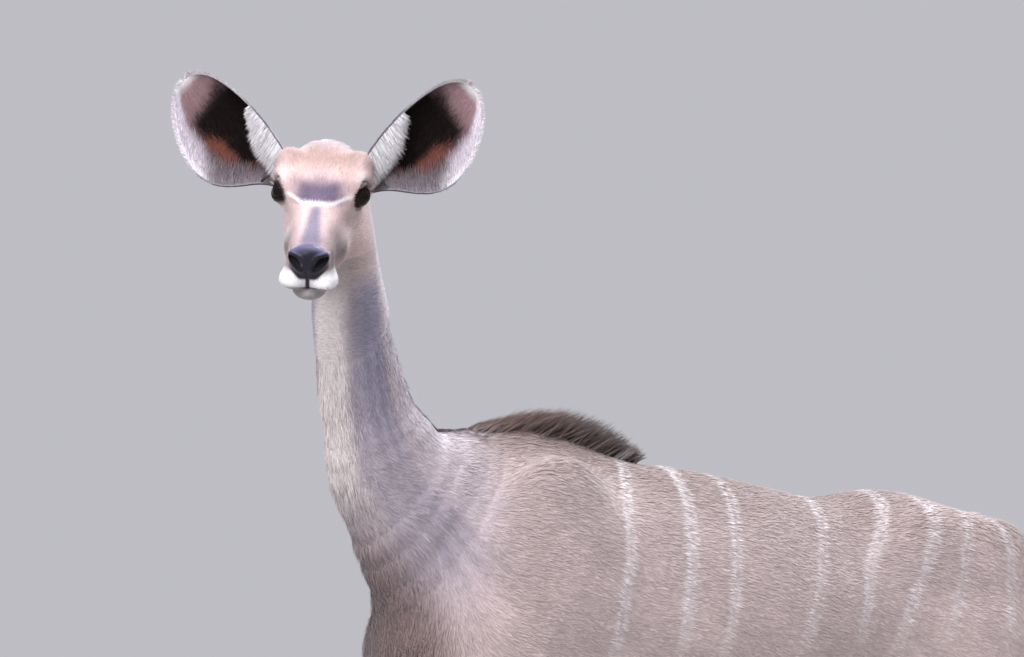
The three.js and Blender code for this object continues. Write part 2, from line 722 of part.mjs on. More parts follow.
// Each leg below the body: upper length, cannon, pastern with its dewclaws, and the two claws
for (const [i, leg] of legs.entries()) {
  const whole = legSolids[i];
  const fore = leg.name.startsWith("fore");
  const top = fore ? FORE_CUT : HIND_CUT;
  const foot = leg.limb.frame(0.985).at;
  const dewclaws = [-1, 1].map((s) =>
    lock({
      root: v3(foot.x + s * 13, foot.y + 28, 110),
      along: v3(s * 0.25, 0.55, -0.8),
      flat: v3(0, 1, 0.6),
      length: 36,
      width: 15,
      bend: 0,
      thick: 0.7,
      steps: 3,
    }),
  );
  const between = (shape, high, low) => keep(keep(shape, down, v3(0, 0, high)), up, v3(0, 0, low));
  add(leg.name + (fore ? "_forearm" : "_gaskin"), between(whole, top, leg.knee), coat);
  add(leg.name + "_cannon", between(whole, leg.knee, FETLOCK_CUT), coat);
  const footEnd = mergedAll([whole, ...dewclaws]);
  add(leg.name + "_pastern", between(footEnd, FETLOCK_CUT, HOOF_HEIGHT), coat);
  add(leg.name + "_hoof_outer", claw(foot.x, foot.y, -leg.side), horn);
  add(leg.name + "_hoof_inner", claw(foot.x, foot.y, leg.side), horn);
}

// The origin is under the middle of the animal, on the ground
const box = new THREE.Box3().setFromObject(kudu);
const middle = box.getCenter(v3(0, 0, 0));
kudu.position.set(-middle.x, -middle.y, -box.min.z);

export default kudu;
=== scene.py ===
# %% [markdown]
# # A life-size greater kudu cow
# The real animal is an antelope of about 170 kg: a deep grey-fawn body with a few narrow white stripes,
# a long neck, a slim head and very large round ears. The solids that this file starts from give every
# outline. Here she gets what a solid can't have: one skin without seams, eyelids and nostrils, wet eyes,
# horn on the feet, and above all a coat, made of a few hundred thousand thin tufts that lie along the body.
# The steps go from the flesh outwards: skin, face, ears, eyes, hooves, short coat, long hair, light.

# %% Load the solids
import json
import math

import bpy
import numpy as np
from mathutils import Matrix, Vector
from mathutils.bvhtree import BVHTree

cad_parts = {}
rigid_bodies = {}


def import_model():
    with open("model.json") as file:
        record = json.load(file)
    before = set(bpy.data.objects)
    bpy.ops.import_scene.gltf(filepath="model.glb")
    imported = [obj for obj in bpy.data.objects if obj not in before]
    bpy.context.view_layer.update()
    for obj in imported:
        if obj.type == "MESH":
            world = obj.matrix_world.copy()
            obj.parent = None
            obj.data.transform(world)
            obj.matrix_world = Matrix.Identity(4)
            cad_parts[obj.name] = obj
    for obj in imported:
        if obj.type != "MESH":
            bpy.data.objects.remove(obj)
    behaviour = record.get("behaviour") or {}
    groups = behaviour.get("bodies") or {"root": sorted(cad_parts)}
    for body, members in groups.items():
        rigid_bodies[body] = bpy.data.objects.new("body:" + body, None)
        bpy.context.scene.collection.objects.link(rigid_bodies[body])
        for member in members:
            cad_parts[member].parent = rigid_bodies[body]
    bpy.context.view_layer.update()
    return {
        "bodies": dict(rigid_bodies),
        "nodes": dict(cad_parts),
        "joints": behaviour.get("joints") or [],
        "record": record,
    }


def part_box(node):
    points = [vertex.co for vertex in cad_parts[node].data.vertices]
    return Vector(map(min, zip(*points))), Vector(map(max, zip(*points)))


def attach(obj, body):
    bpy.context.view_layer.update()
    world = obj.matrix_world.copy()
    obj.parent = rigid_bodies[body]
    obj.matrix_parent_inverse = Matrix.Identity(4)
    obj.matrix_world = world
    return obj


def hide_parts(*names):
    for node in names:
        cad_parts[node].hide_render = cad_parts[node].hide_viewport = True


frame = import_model()
NODES = frame["nodes"]

# %% [markdown]
# ## Shared small tools
# Modelling here goes as by hand: a primitive is added, changed in edit mode, and finished with modifiers
# that are applied at once. These helpers keep that short. `finish` puts a piece's place into its mesh,
# gives it its material and tells which body it belongs to.


# %% Helpers for objects and modifiers
def linked(obj):
    bpy.context.scene.collection.objects.link(obj)
    return obj


def deselect():
    if bpy.context.object and bpy.context.object.mode != "OBJECT":
        bpy.ops.object.mode_set(mode="OBJECT")
    bpy.ops.object.select_all(action="DESELECT")


def only(obj):
    deselect()
    obj.select_set(True)
    bpy.context.view_layer.objects.active = obj
    return obj


def modify(obj, kind, **values):
    only(obj)
    modifier = obj.modifiers.new(kind.lower(), kind)
    for key, value in values.items():
        setattr(modifier, key, value)
    bpy.ops.object.modifier_apply(modifier=modifier.name)


def joined_copy(name, nodes):
    """One mesh from copies of solids, with their loose triangles merged."""
    deselect()
    copies = []
    for node in nodes:
        copy = NODES[node].copy()
        copy.data = NODES[node].data.copy()
        copy.parent = None
        for key in list(copy.keys()):
            del copy[key]
        linked(copy).select_set(True)
        copies.append(copy)
    bpy.context.view_layer.objects.active = copies[0]
    if len(copies) > 1:
        bpy.ops.object.join()
    obj = bpy.context.object
    obj.name = name
    bpy.ops.object.mode_set(mode="EDIT")
    bpy.ops.mesh.select_all(action="SELECT")
    bpy.ops.mesh.remove_doubles(threshold=1e-6)
    bpy.ops.object.mode_set(mode="OBJECT")
    return obj


def finish(obj, material, nodes=()):
    only(obj)
    bpy.ops.object.transform_apply(location=True, rotation=True, scale=True)
    obj.data.materials.clear()
    obj.data.materials.append(material)
    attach(obj, "root")
    if nodes:
        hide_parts(*nodes)
    print(obj.name, len(obj.data.polygons), "faces")
    return obj


def coords(obj):
    out = np.zeros(len(obj.data.vertices) * 3)
    obj.data.vertices.foreach_get("co", out)
    return out.reshape(-1, 3)


def set_coords(obj, points):
    obj.data.vertices.foreach_set("co", np.asarray(points, float).ravel())
    obj.data.update()


def normals_of(obj):
    out = np.zeros(len(obj.data.vertices) * 3)
    obj.data.vertices.foreach_get("normal", out)
    return out.reshape(-1, 3)


# %% [markdown]
# ## The flesh as masses
# Under the skin an animal reads as a few large masses: rib cage, shoulder, thigh, brain case, jaw. Each is
# an ellipsoid here, and neck, legs and tail are chains of oval sections. Blended softly into each other
# they give a smooth surface that the faceted solids only come near to. The skin is later laid on this
# surface, so that no facet shows. All of it is in millimetres, in the animal's own frame: she faces -Y,
# her left is +X, and the ground is at zero.

# %% Masses and how they blend
REACH = 130.0  # how far from a mass its distance is still asked for
SAMPLES_PER_STATION = 4


def turn_x(degrees):
    c, s = math.cos(math.radians(degrees)), math.sin(math.radians(degrees))
    return np.array([[1, 0, 0], [0, c, -s], [0, s, c]])


def turn_y(degrees):
    c, s = math.cos(math.radians(degrees)), math.sin(math.radians(degrees))
    return np.array([[c, 0, s], [0, 1, 0], [-s, 0, c]])


def turn_z(degrees):
    c, s = math.cos(math.radians(degrees)), math.sin(math.radians(degrees))
    return np.array([[c, -s, 0], [s, c, 0], [0, 0, 1]])


def unit(v):
    v = np.asarray(v, float)
    return v / np.maximum(np.linalg.norm(v, axis=-1, keepdims=True), 1e-12)


def soft_min(a, b, k):
    """The smaller of two distances, with a fillet about k wide between them."""
    h = np.maximum(k - np.abs(a - b), 0) / k
    return np.minimum(a, b) - h * h * k / 4


def mass(centre, radii, lean=0.0, yaw=0.0):
    """An ellipsoid: its centre, its reach, and a function of distance, below zero inside it."""
    centre, radii = np.array(centre, float), np.array(radii, float)
    turn = turn_x(lean) @ turn_z(yaw)

    def value(p):
        q = (p - centre) @ turn
        share = np.linalg.norm(q / radii, axis=1)
        slope = np.linalg.norm(q / radii**2, axis=1) + 1e-12
        return share * (share - 1) / slope

    return centre, radii.max(), value


def pair(centre, radii, lean=0.0, yaw=0.0):
    """The same mass on both sides."""
    x, y, z = centre
    return [mass((s * x, y, z), radii, lean, s * yaw) for s in (1, -1)]


def blended(parts, k):
    def value(p):
        d = np.full(len(p), 1e6)
        for centre, bound, part in parts:
            near = np.linalg.norm(p - centre, axis=1) < bound + REACH
            if near.any():
                d[near] = soft_min(d[near], part(p[near]), k)
        return d

    return value


# %% Chains of oval sections for neck, legs and tail
class Limb:
    """A smooth tube through stations: x, y, z, half its width, half its depth, and degrees of turn."""

    def __init__(self, stations):
        rows = [list(s) + [0] * (6 - len(s)) for s in stations]
        self.rows = np.array(rows, float)
        count = (len(rows) - 1) * SAMPLES_PER_STATION
        self.samples = [self.frame(i / count) for i in range(count + 1)]

    def point(self, share):
        rows = self.rows[:, :3]
        last = len(rows) - 1
        at = share * last
        i = min(int(math.floor(at)), last - 1)
        t = at - i
        before = rows[i - 1] if i > 0 else 2 * rows[0] - rows[1]
        after = rows[i + 2] if i + 2 <= last else 2 * rows[last] - rows[last - 1]
        m0, m1 = 0.5 * (rows[i + 1] - before), 0.5 * (after - rows[i])
        a = 2 * rows[i] - 2 * rows[i + 1] + m0 + m1
        b = -3 * rows[i] + 3 * rows[i + 1] - 2 * m0 - m1
        return ((a * t + b) * t + m0) * t + rows[i]

    def frame(self, share):
        share = min(max(share, 0), 1)
        last = len(self.rows) - 1
        at = share * last
        i = min(int(math.floor(at)), last - 1)
        t = at - i
        soft = t * t * (3 - 2 * t)
        wide, deep, turn = (self.rows[i] * (1 - soft) + self.rows[i + 1] * soft)[3:6]
        low, high = max(share - 1e-4, 0), min(share + 1e-4, 1)
        along = unit(self.point(high) - self.point(low))
        side = np.array([math.cos(math.radians(turn)), math.sin(math.radians(turn)), 0])
        side = unit(side - along * side.dot(along))
        return {"at": self.point(share), "along": along, "side": side, "front": np.cross(along, side),
                "wide": wide, "deep": deep}

    def value(self, p):
        best = np.full(len(p), 1e6)
        for a, b in zip(self.samples, self.samples[1:]):
            step = b["at"] - a["at"]
            middle = (a["at"] + b["at"]) / 2
            bound = np.linalg.norm(step) / 2 + max(a["wide"], a["deep"]) + REACH
            near = np.linalg.norm(p - middle, axis=1) < bound
            if not near.any():
                continue
            q = p[near]
            t = np.clip((q - a["at"]) @ step / step.dot(step), 0, 1)
            d = q - a["at"] - t[:, None] * step
            wide = a["wide"] + (b["wide"] - a["wide"]) * t
            deep = a["deep"] + (b["deep"] - a["deep"]) * t
            across, fore, past = ((d @ a[k]) * (1 - t) + (d @ b[k]) * t for k in ("side", "front", "along"))
            thin = np.minimum(wide, deep)
            share = np.sqrt((across / wide) ** 2 + (fore / deep) ** 2 + (past / thin) ** 2)
            slope = np.sqrt((across / wide**2) ** 2 + (fore / deep**2) ** 2 + (past / thin**2) ** 2) + 1e-12
            best[near] = np.minimum(best[near], share * (share - 1) / slope)
        return best


# %% The head, in its own frame: the middle between the eyes, muzzle towards -Y
HEAD_AT = np.array([78.0, -706.0, 1606.0])
HEAD_PITCH = 17.0
HEAD_TURN = turn_z(55.5) @ turn_x(HEAD_PITCH) @ turn_y(3.4)
head_masses = blended(
    [mass((0, 62, 2), (60, 66, 50)), mass((0, 44, 18), (50, 40, 31)), mass((0, -14, -4), (50, 58, 41), 18)]
    + pair((51, 2, 2), (25, 33, 27))
    + pair((43, 6, 21), (25, 32, 17))
    + pair((52, 36, 26), (24, 30, 30))
    + [mass((0, -84, -30), (38, 98, 37), 11), mass((0, -156, -56), (37, 46, 36), 12)]
    + pair((34, 26, -56), (25, 60, 46), -12)
    + pair((26, -60, -62), (24, 62, 30))
    + [mass((0, -30, -84), (34, 104, 29)), mass((0, 80, -44), (44, 58, 52))],
    20,
)
lip_masses = blended(
    pair((21, -172, -76), (25, 34, 18), 4, math.degrees(0.22))
    + [mass((0, -186, -44), (31, 22, 28), 14), mass((0, -152, -100), (28, 40, 17), -4)],
    10,
)


def to_head(p):
    return (p - HEAD_AT) @ HEAD_TURN


def from_head(p):
    return np.asarray(p, float) @ HEAD_TURN.T + HEAD_AT


def head_value(p):
    q = to_head(p)
    return soft_min(head_masses(q), lip_masses(q), 14)


# %% Neck, trunk, legs and tail
neck = Limb([
    (0, -262, 960, 130, 190), (0, -362, 1030, 124, 186), (0, -456, 1092, 98, 152, 2),
    (0, -546, 1180, 76, 108, 8), (5, -592, 1286, 62, 84, 18), (13, -618, 1400, 55, 78, 32),
    (20, -636, 1505, 51, 72, 46), (12, -650, 1580, 49, 62, 54), (-4, -654, 1634, 42, 42, 55.5),
])
trunk = blended(
    [mass((0, -150, 962), (176, 400, 226)), mass((0, 70, 925), (186, 340, 188)),
     mass((0, 160, 1052), (92, 360, 58), -2), mass((0, 356, 1012), (132, 150, 112), -20),
     mass((0, -312, 1136), (60, 168, 112), -9)]
    + pair((104, -345, 1005), (60, 112, 205), -16)
    + pair((98, -440, 885), (62, 92, 100), 20)
    + [mass((0, -440, 895), (92, 122, 140))]
    + pair((104, 405, 915), (70, 168, 180), 14)
    + pair((60, 530, 965), (60, 66, 108), 8)
    + [mass((0, 372, 808), (56, 70, 40))],
    70,
)


def foreleg(side, ahead):
    rows = [(116, -396, 850, 52, 84, .1), (114, -398, 760, 45, 66, .2), (110, -404, 670, 37, 50, .4),
            (106, -408, 570, 28, 35, .6), (103, -411, 490, 24, 28, .8), (102, -414, 440, 27, 31, .9),
            (101, -411, 392, 22, 25, .95), (100, -408, 335, 16, 19, 1), (99, -408, 250, 15, 18, 1),
            (98, -410, 175, 17, 20, 1), (97, -413, 133, 22, 26, 1), (97, -430, 92, 19, 21, 1),
            (97, -444, 48, 27, 29, 1)]
    return Limb([(side * x, y + ahead * part, z, wide, deep) for x, y, z, wide, deep, part in rows])


def hindleg(side, ahead):
    rows = [(112, 430, 900, 64, 140, 0), (120, 412, 800, 54, 118, .1), (118, 446, 700, 40, 76, .2),
            (112, 502, 605, 29, 47, .4), (106, 553, 525, 22, 33, .6), (103, 572, 462, 25, 35, .8),
            (102, 566, 408, 21, 27, .9), (101, 558, 340, 17, 20, 1), (100, 550, 250, 16, 19, 1),
            (99, 543, 178, 18, 21, 1), (98, 538, 136, 23, 27, 1), (98, 520, 94, 20, 22, 1),
            (98, 506, 48, 28, 30, 1)]
    return Limb([(side * x, y + ahead * part, z, wide, deep) for x, y, z, wide, deep, part in rows])


def with_heel(limb, side, ahead):
    heel = mass((side * 104, 602 + ahead * 0.7, 492), (12, 17, 34), -18)[2]
    return lambda p: soft_min(limb.value(p), heel(p), 16)


fore_left, fore_right = foreleg(1, 0), foreleg(-1, -46)
hind_left, hind_right = hindleg(1, 34), hindleg(-1, -22)
tail = Limb([(0, 500, 1046, 34, 36), (0, 590, 1024, 24, 26), (0, 650, 962, 17, 19), (0, 668, 880, 13, 14),
             (0, 670, 800, 10, 11), (0, 666, 750, 7, 8)])


def bounded(low, high, part):
    low, high = np.array(low, float), np.array(high, float)
    return (low + high) / 2, np.linalg.norm(high - low) / 2, part


flesh = blended(
    [bounded((-190, -570, 730), (190, 620, 1270), trunk),
     bounded((-100, -720, 960), (100, -250, 1680), neck.value),
     bounded((-60, -860, 1440), (250, -590, 1700), head_value),
     bounded((60, -480, 0), (170, -340, 900), fore_left.value),
     bounded((-170, -520, 0), (-60, -380, 900), fore_right.value),
     bounded((50, 280, 0), (180, 660, 1000), with_heel(hind_left, 1, 34)),
     bounded((-180, 260, 0), (-50, 620, 1000), with_heel(hind_right, -1, -22)),
     bounded((-40, 480, 740), (40, 690, 1080), tail.value)],
    46,
)

# %% From the animal's frame to the scene's: the eyes are in the same place in both
eye_middle = sum((Vector(c) for n in ("eye_left", "eye_right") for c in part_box(n)), Vector()) / 4
SHIFT = np.array(eye_middle) * 1000 - HEAD_AT


def scene_to_mm(p):
    return np.asarray(p, float) * 1000 - SHIFT


def mm_to_scene(p):
    return (np.asarray(p, float) + SHIFT) / 1000


def flesh_normals(p, e=2.0):
    corners = np.array([[1, -1, -1], [-1, -1, 1], [-1, 1, -1], [1, 1, 1]], float)
    slope = sum(c * flesh(p + e * c)[:, None] for c in corners)
    return unit(slope)


print("shift from the animal's frame, mm:", SHIFT.round(1))

# %% [markdown]
# ## One skin
# The solids are parted into head, neck, chest and so on, with hairline gaps. A real hide has none, so
# copies of all flesh solids are joined, and a voxel remesh melts them into one even mesh. Its points are
# then moved onto the smooth masses, a coat's depth below the surface, which also takes away the solids'
# plain locks of hair: the coat brings its own. The face gets more, smaller faces, for the lids and lips.

# %% Smooth steps and soft bands, used for depths and colours


def ramp(x, low, high):
    """0 below low, 1 above high, and smooth between them."""
    t = np.clip((x - low) / (high - low), 0, 1)
    return t * t * (3 - 2 * t)


def band(x, centre, half, soft):
    """1 within half of the centre, and 0 a soft border further out."""
    return 1 - ramp(np.abs(x - centre), half, half + soft)


def hill(x, width):
    """1 at zero, and about a third of that at the width."""
    return np.exp(-((x / width) ** 2))


def coat_depth(p):
    """How far the skin lies below the tips of the coat, in millimetres."""
    to_muzzle = np.linalg.norm(p - HEAD_AT, axis=1)
    depth = 3.0 + 5.0 * ramp(to_muzzle, 150, 420)
    return np.where(p[:, 2] < 900, 3.0 + (depth - 3.0) * ramp(p[:, 2], 520, 800), depth)


def lay_on_flesh(obj, rounds):
    p = scene_to_mm(coords(obj))
    for _ in range(rounds):
        n = flesh_normals(p)
        p = p - n * (flesh(p) + coat_depth(p))[:, None]
    set_coords(obj, mm_to_scene(p))


FLESH_NODES = [n for n in NODES if "hoof" not in n and not n.startswith(("eye", "ear"))]
skin = joined_copy("skin", FLESH_NODES)
for voxel in (0.008, 0.0078):
    modify(skin, "REMESH", mode="VOXEL", voxel_size=voxel, use_smooth_shade=True)
    lay_on_flesh(skin, 3)
modify(skin, "SMOOTH", factor=0.5, iterations=2)
lay_on_flesh(skin, 1)
print("skin after remesh:", len(skin.data.polygons))

# %% Smaller faces on the head, and smaller again round the eyes, nose and mouth
EYE_RADIUS = 20.0
EYE_SPREAD = 54.0
NOSE_AT = np.array([0.0, -196.0, -52.0])


def refine(obj, choose):
    """Cuts the chosen faces into four."""
    only(obj)
    h = to_head(scene_to_mm(coords(obj)))
    wanted = choose(h)
    bpy.ops.object.mode_set(mode="EDIT")
    bpy.ops.mesh.select_all(action="DESELECT")
    bpy.ops.object.mode_set(mode="OBJECT")
    flags = np.zeros(len(obj.data.polygons), bool)
    for i, face in enumerate(obj.data.polygons):
        flags[i] = all(wanted[v] for v in face.vertices)
    obj.data.polygons.foreach_set("select", flags)
    bpy.ops.object.mode_set(mode="EDIT")
    bpy.ops.mesh.select_mode(type="FACE")
    bpy.ops.mesh.subdivide(number_cuts=1, smoothness=0)
    bpy.ops.mesh.quads_convert_to_tris()
    bpy.ops.object.mode_set(mode="OBJECT")


def near_eyes(h, far):
    return np.minimum(*(np.linalg.norm(h - [s * (EYE_SPREAD + 18), -8, 2], axis=1) for s in (1, -1))) < far


refine(skin, lambda h: (h[:, 1] < 60) & (np.linalg.norm(h - [0, -60, -40], axis=1) < 190))
lay_on_flesh(skin, 1)
refine(skin, lambda h: near_eyes(h, 46) | ((h[:, 1] < -120) & (np.linalg.norm(h - NOSE_AT, axis=1) < 90)))
lay_on_flesh(skin, 1)
refine(skin, lambda h: near_eyes(h, 30) | ((h[:, 1] < -158) & (np.abs(h[:, 0]) < 34) & (h[:, 2] > -72)))
lay_on_flesh(skin, 1)
print("skin with a finer face:", len(skin.data.polygons))

# %% [markdown]
# ## Lids, nostrils and mouth
# On the real head the eye is a wet ball behind two thick lids, the nostrils are commas that open sideways,
# and the mouth is one long fold. They could be separate pieces, but then they would part from the face
# around them. So the skin itself is pushed, as with a sculpting brush: each brush is a small function of
# how far a point is from the lid's edge, the nostril's middle line or the fold.


# %% The frame of each eye, and the opening of its lids
LID_HALF_LENGTH, LID_UPPER, LID_LOWER, LID_POWER = 17.5, 12.6, 10.2, 1.7


def eye_frame(s):
    """The centre of the left (1) or right (-1) eye, the ways out of it, along its lids, and up."""
    out = unit([s * 0.86, -0.48, 0.1])
    long = np.array([s * 0.42, 0.86, 0.2])
    long = unit(long - out * long.dot(out))
    high = np.cross(out, long)
    high = high if high[2] > 0 else -high
    return np.array([s * EYE_SPREAD, 0, 0]), out, long, high


def lid_edge(a, b):
    """Distance from the edge of the opening, below zero inside it."""
    half_high = np.where(b > 0, LID_UPPER, LID_LOWER)
    share = (np.abs(a / LID_HALF_LENGTH) ** LID_POWER + np.abs(b / half_high) ** LID_POWER) ** (1 / LID_POWER)
    return (share - 1) * np.hypot(a, b) / np.maximum(share, 1e-6)


def eye_places(h, s):
    """Places along, up and out of an eye, and the distance from the edge of its opening."""
    centre, out, long, high = eye_frame(s)
    r = h - centre
    a, b = r @ long, r @ high
    return a, b, r @ out, lid_edge(a, b)


def sculpt_eye(h, s):
    a, b, c, edge = eye_places(h, s)
    near = ramp(c, 0, 8) * (1 - ramp(edge, 15, 18))
    rho = np.hypot(a, b)

    def ball(offset):
        return np.sqrt(np.maximum((EYE_RADIUS + offset) ** 2 - rho**2, 4.0))

    # the rolled edge of the lids, a crease over each, and the socket behind the opening
    lid = ball(1.5 + 1.5 * hill(edge - 3.2, 2.6))
    hold = 1 - ramp(edge, 2.0, 17.0)
    raised = c * (1 - hold) + lid * hold
    crease = np.where(b > 0, 1.9, 1.1) * hill(edge - 8.5, 1.5) * (np.abs(a) < 26)
    raised = raised - crease + 0.9 * hill(edge - 12, 2.0) * (b > 0)
    inside = 1 - ramp(edge, -1.6, 0.2)
    raised = raised * (1 - inside) + ball(-6.0) * inside
    return h + (near * (raised - c))[:, None] * eye_frame(s)[1]


# %% Nostrils: a curved line on each side, with its radius at five places
NOSTRIL = np.array([[9, -209, -58, 4.6], [13, -207, -50, 6.8], [19, -202, -43, 7.2], [25.5, -192, -38, 5.4],
                    [30, -181, -37, 2.6]])
WING_AT, WING_SIZE = [27, -189, -34], [11, 13, 10]


def to_left(h):
    """The points of both sides, laid over each other on the left."""
    return np.abs(h) * [1, 0, 0] + h * [0, 1, 1]


def nostril_share(h):
    """Distance from the nostril's middle line, in radii of the nostril there."""
    h = to_left(h)
    best = np.full(len(h), 1e6)
    for a, b in zip(NOSTRIL, NOSTRIL[1:]):
        step = b[:3] - a[:3]
        t = np.clip((h - a[:3]) @ step / step.dot(step), 0, 1)
        radius = a[3] + (b[3] - a[3]) * t
        best = np.minimum(best, np.linalg.norm(h - a[:3] - t[:, None] * step, axis=1) / radius)
    return best


def sculpt_nostrils(h):
    swell = hill(np.linalg.norm((to_left(h) - WING_AT) / WING_SIZE, axis=1), 1.0)
    ones = np.ones(len(h))
    h = h + (5.0 * swell)[:, None] * unit(np.stack([np.sign(h[:, 0]) * 0.8, ones * -0.35, ones * 0.5], 1))
    share = nostril_share(h)
    hole = 1 - ramp(share, 0.35, 1.05)
    rim = hill(share - 1.55, 0.4)
    inward = unit([0.0, 0.9, 0.12]) * 15
    outward = unit([0.0, -0.8, 0.25]) * 1.3
    return h + hole[:, None] * inward + (rim * (1 - hole))[:, None] * outward


# %% Mouth, and the groove of the upper lip
MOUTH_AT, MOUTH_UP = np.array([0, -196.0, -86.0]), unit([0, 0.05, 1.0])
MUZZLE_MIDDLE = np.array([0, -150.0, -86.0])


def mouth_places(h):
    """Heights over the mouth's front and over its curved line, and 1 along it, 0 behind its corner."""
    level = (h - MOUTH_AT) @ MOUTH_UP
    return level, level + 2.4 * ramp(h[:, 1], -160, -118), 1 - ramp(h[:, 1], -128, -112)


def sculpt_mouth(h):
    _, level, reach = mouth_places(h)
    fold = hill(level, 1.9) * reach
    swell = (hill(level - 5, 3.0) + 0.8 * hill(level + 5, 3.0)) * reach
    away = unit((h - MUZZLE_MIDDLE) * [1, 0.6, 0])
    groove = hill(h[:, 0], 1.5) * (h[:, 1] < -180) * ramp(h[:, 2], -90, -84) * (1 - ramp(h[:, 2], -60, -52))
    return h + away * (swell * 0.8 - fold * 3.6)[:, None] + groove[:, None] * [0, 1.8, 0]


# %% Sculpt the face
h = to_head(scene_to_mm(coords(skin)))
near_head = (h[:, 1] < 70) & (np.linalg.norm(h - [0, -60, -40], axis=1) < 200)
face = h[near_head]
for s in (1, -1):
    face = sculpt_eye(face, s)
h[near_head] = sculpt_mouth(sculpt_nostrils(face))
set_coords(skin, mm_to_scene(from_head(h)))
print("points of the face:", len(face))

# %% [markdown]
# ## Colours of the coat
# Greater kudu cows are grey-fawn, darker along the spine, with seven to ten narrow white stripes down the
# flanks, a white bar between the eyes, white lips and chin, and tawny legs with dark pasterns. The colours
# could be painted by hand, but skin and coat must match exactly. So one function gives the colour for any
# point of the animal, and both the skin and each tuft ask it.

# %% Palette, as linear reds, greens and blues
FAWN = np.array([0.49, 0.40, 0.39])
FAWN_DARK = np.array([0.185, 0.125, 0.110])
BELLY = np.array([0.60, 0.52, 0.51])
NECK_GREY = np.array([0.300, 0.285, 0.400])
NECK_FAWN = np.array([0.54, 0.465, 0.49])
BRISKET = np.array([0.150, 0.090, 0.075])
CREAM = np.array([0.80, 0.745, 0.72])
WHITE = np.array([0.90, 0.885, 0.90])
TAWNY = np.array([0.47, 0.325, 0.235])
DARK = np.array([0.030, 0.022, 0.020])
MANE = np.array([0.026, 0.017, 0.015])
RUST = np.array([0.26, 0.095, 0.050])
FACE = np.array([0.75, 0.57, 0.55])
FOREHEAD = np.array([0.45, 0.31, 0.275])
FACE_GREY = np.array([0.135, 0.105, 0.175])
BRIDGE = np.array([0.21, 0.195, 0.285])
LAVENDER = np.array([0.52, 0.480, 0.545])
CHEEK = np.array([0.125, 0.085, 0.078])
NOSE = np.array([0.020, 0.019, 0.028])
NOSE_TOP_SHEEN = np.array([0.105, 0.10, 0.19])
EAR_BLACK = np.array([0.0045, 0.0018, 0.0015])
EAR_BROWN = np.array([0.29, 0.185, 0.195])
EAR_RUST = np.array([0.170, 0.058, 0.042])


def mix(colour, other, amount):
    """Lays another colour over a colour, by a share for each point."""
    amount = np.clip(amount, 0, 1)[:, None]
    return colour * (1 - amount) + np.asarray(other) * amount


def wave(p, scale, seed):
    """A soft, repeatable unevenness between -1 and 1."""
    q = p / scale
    a = np.sin(q[:, 0] * 1.7 + q[:, 1] * 1.1 + seed) * np.cos(q[:, 2] * 1.3 - q[:, 1] * 0.7 + seed * 2)
    b = np.sin(q[:, 1] * 2.9 + q[:, 2] * 2.1 + seed * 3) * np.cos(q[:, 0] * 2.3 + seed)
    return 0.6 * a + 0.4 * b


# %% Stripes: for each, where it runs at four heights
STRIPE_HEIGHTS = [945, 1030, 1115, 1190]
LOWEST = STRIPE_HEIGHTS[0]
STEP = STRIPE_HEIGHTS[1] - LOWEST
STRIPES = [(-236, -218, -199, -155), (-123, -106, -85, -62), (-46, -27, -4, 25), (102, 139, 179, 228),
           (208, 239, 295, 336), (288, 330, 372, 412), (366, 396, 436, 453), (475, 490, 495, 497)]
STRIPE_STRENGTHS = [1.0, 0.92, 0.92, 0.96, 0.75, 0.85, 0.8, 0.7]


def stripe_share(p):
    """Share of white at each point. The stripes of the right side are shifted a little."""
    share = np.zeros(len(p))
    right = p[:, 0] < 0
    for i, places in enumerate(STRIPES):
        y = np.interp(p[:, 2], STRIPE_HEIGHTS, places)
        y = y + (p[:, 2] < LOWEST) * (p[:, 2] - LOWEST) * min(places[1] - places[0], 30) / STEP
        y = y + np.where(right, 11 * math.sin(2.1 * i + 0.6), 0) + 3 * wave(p, 60, i)
        width = 3.9 + 1.0 * math.sin(i * 1.9) + 0.7 * wave(p, 24, i + 5)
        ends = ramp(p[:, 2], 850 + 24 * math.sin(i * 2.3), 960)
        share = np.maximum(share, hill(p[:, 1] - y, width) * ends * STRIPE_STRENGTHS[i])
    return share


# %% Colour of body, neck and legs
def neck_front(p):
    """How far round the neck a point lies: 1 at the throat, -1 at the nape."""
    heights = [1000, 1092, 1180, 1286, 1400, 1505, 1580, 1634]
    x = np.interp(p[:, 2], heights, [0, 0, 0, 5, 13, 20, 12, -4])
    y = np.interp(p[:, 2], heights, [-380, -456, -546, -592, -618, -636, -650, -654])
    turn = np.radians(np.interp(p[:, 2], heights, [0, 2, 8, 18, 32, 46, 54, 55.5]))
    ahead = np.stack([np.sin(turn), -np.cos(turn)], 1)
    away = unit(np.stack([p[:, 0] - x, p[:, 1] - y], 1))
    return (away * ahead).sum(1)


BACK_LINE = [-400, -320, -130, 50, 280, 385, 560], [1240, 1255, 1195, 1163, 1140, 1150, 1070]


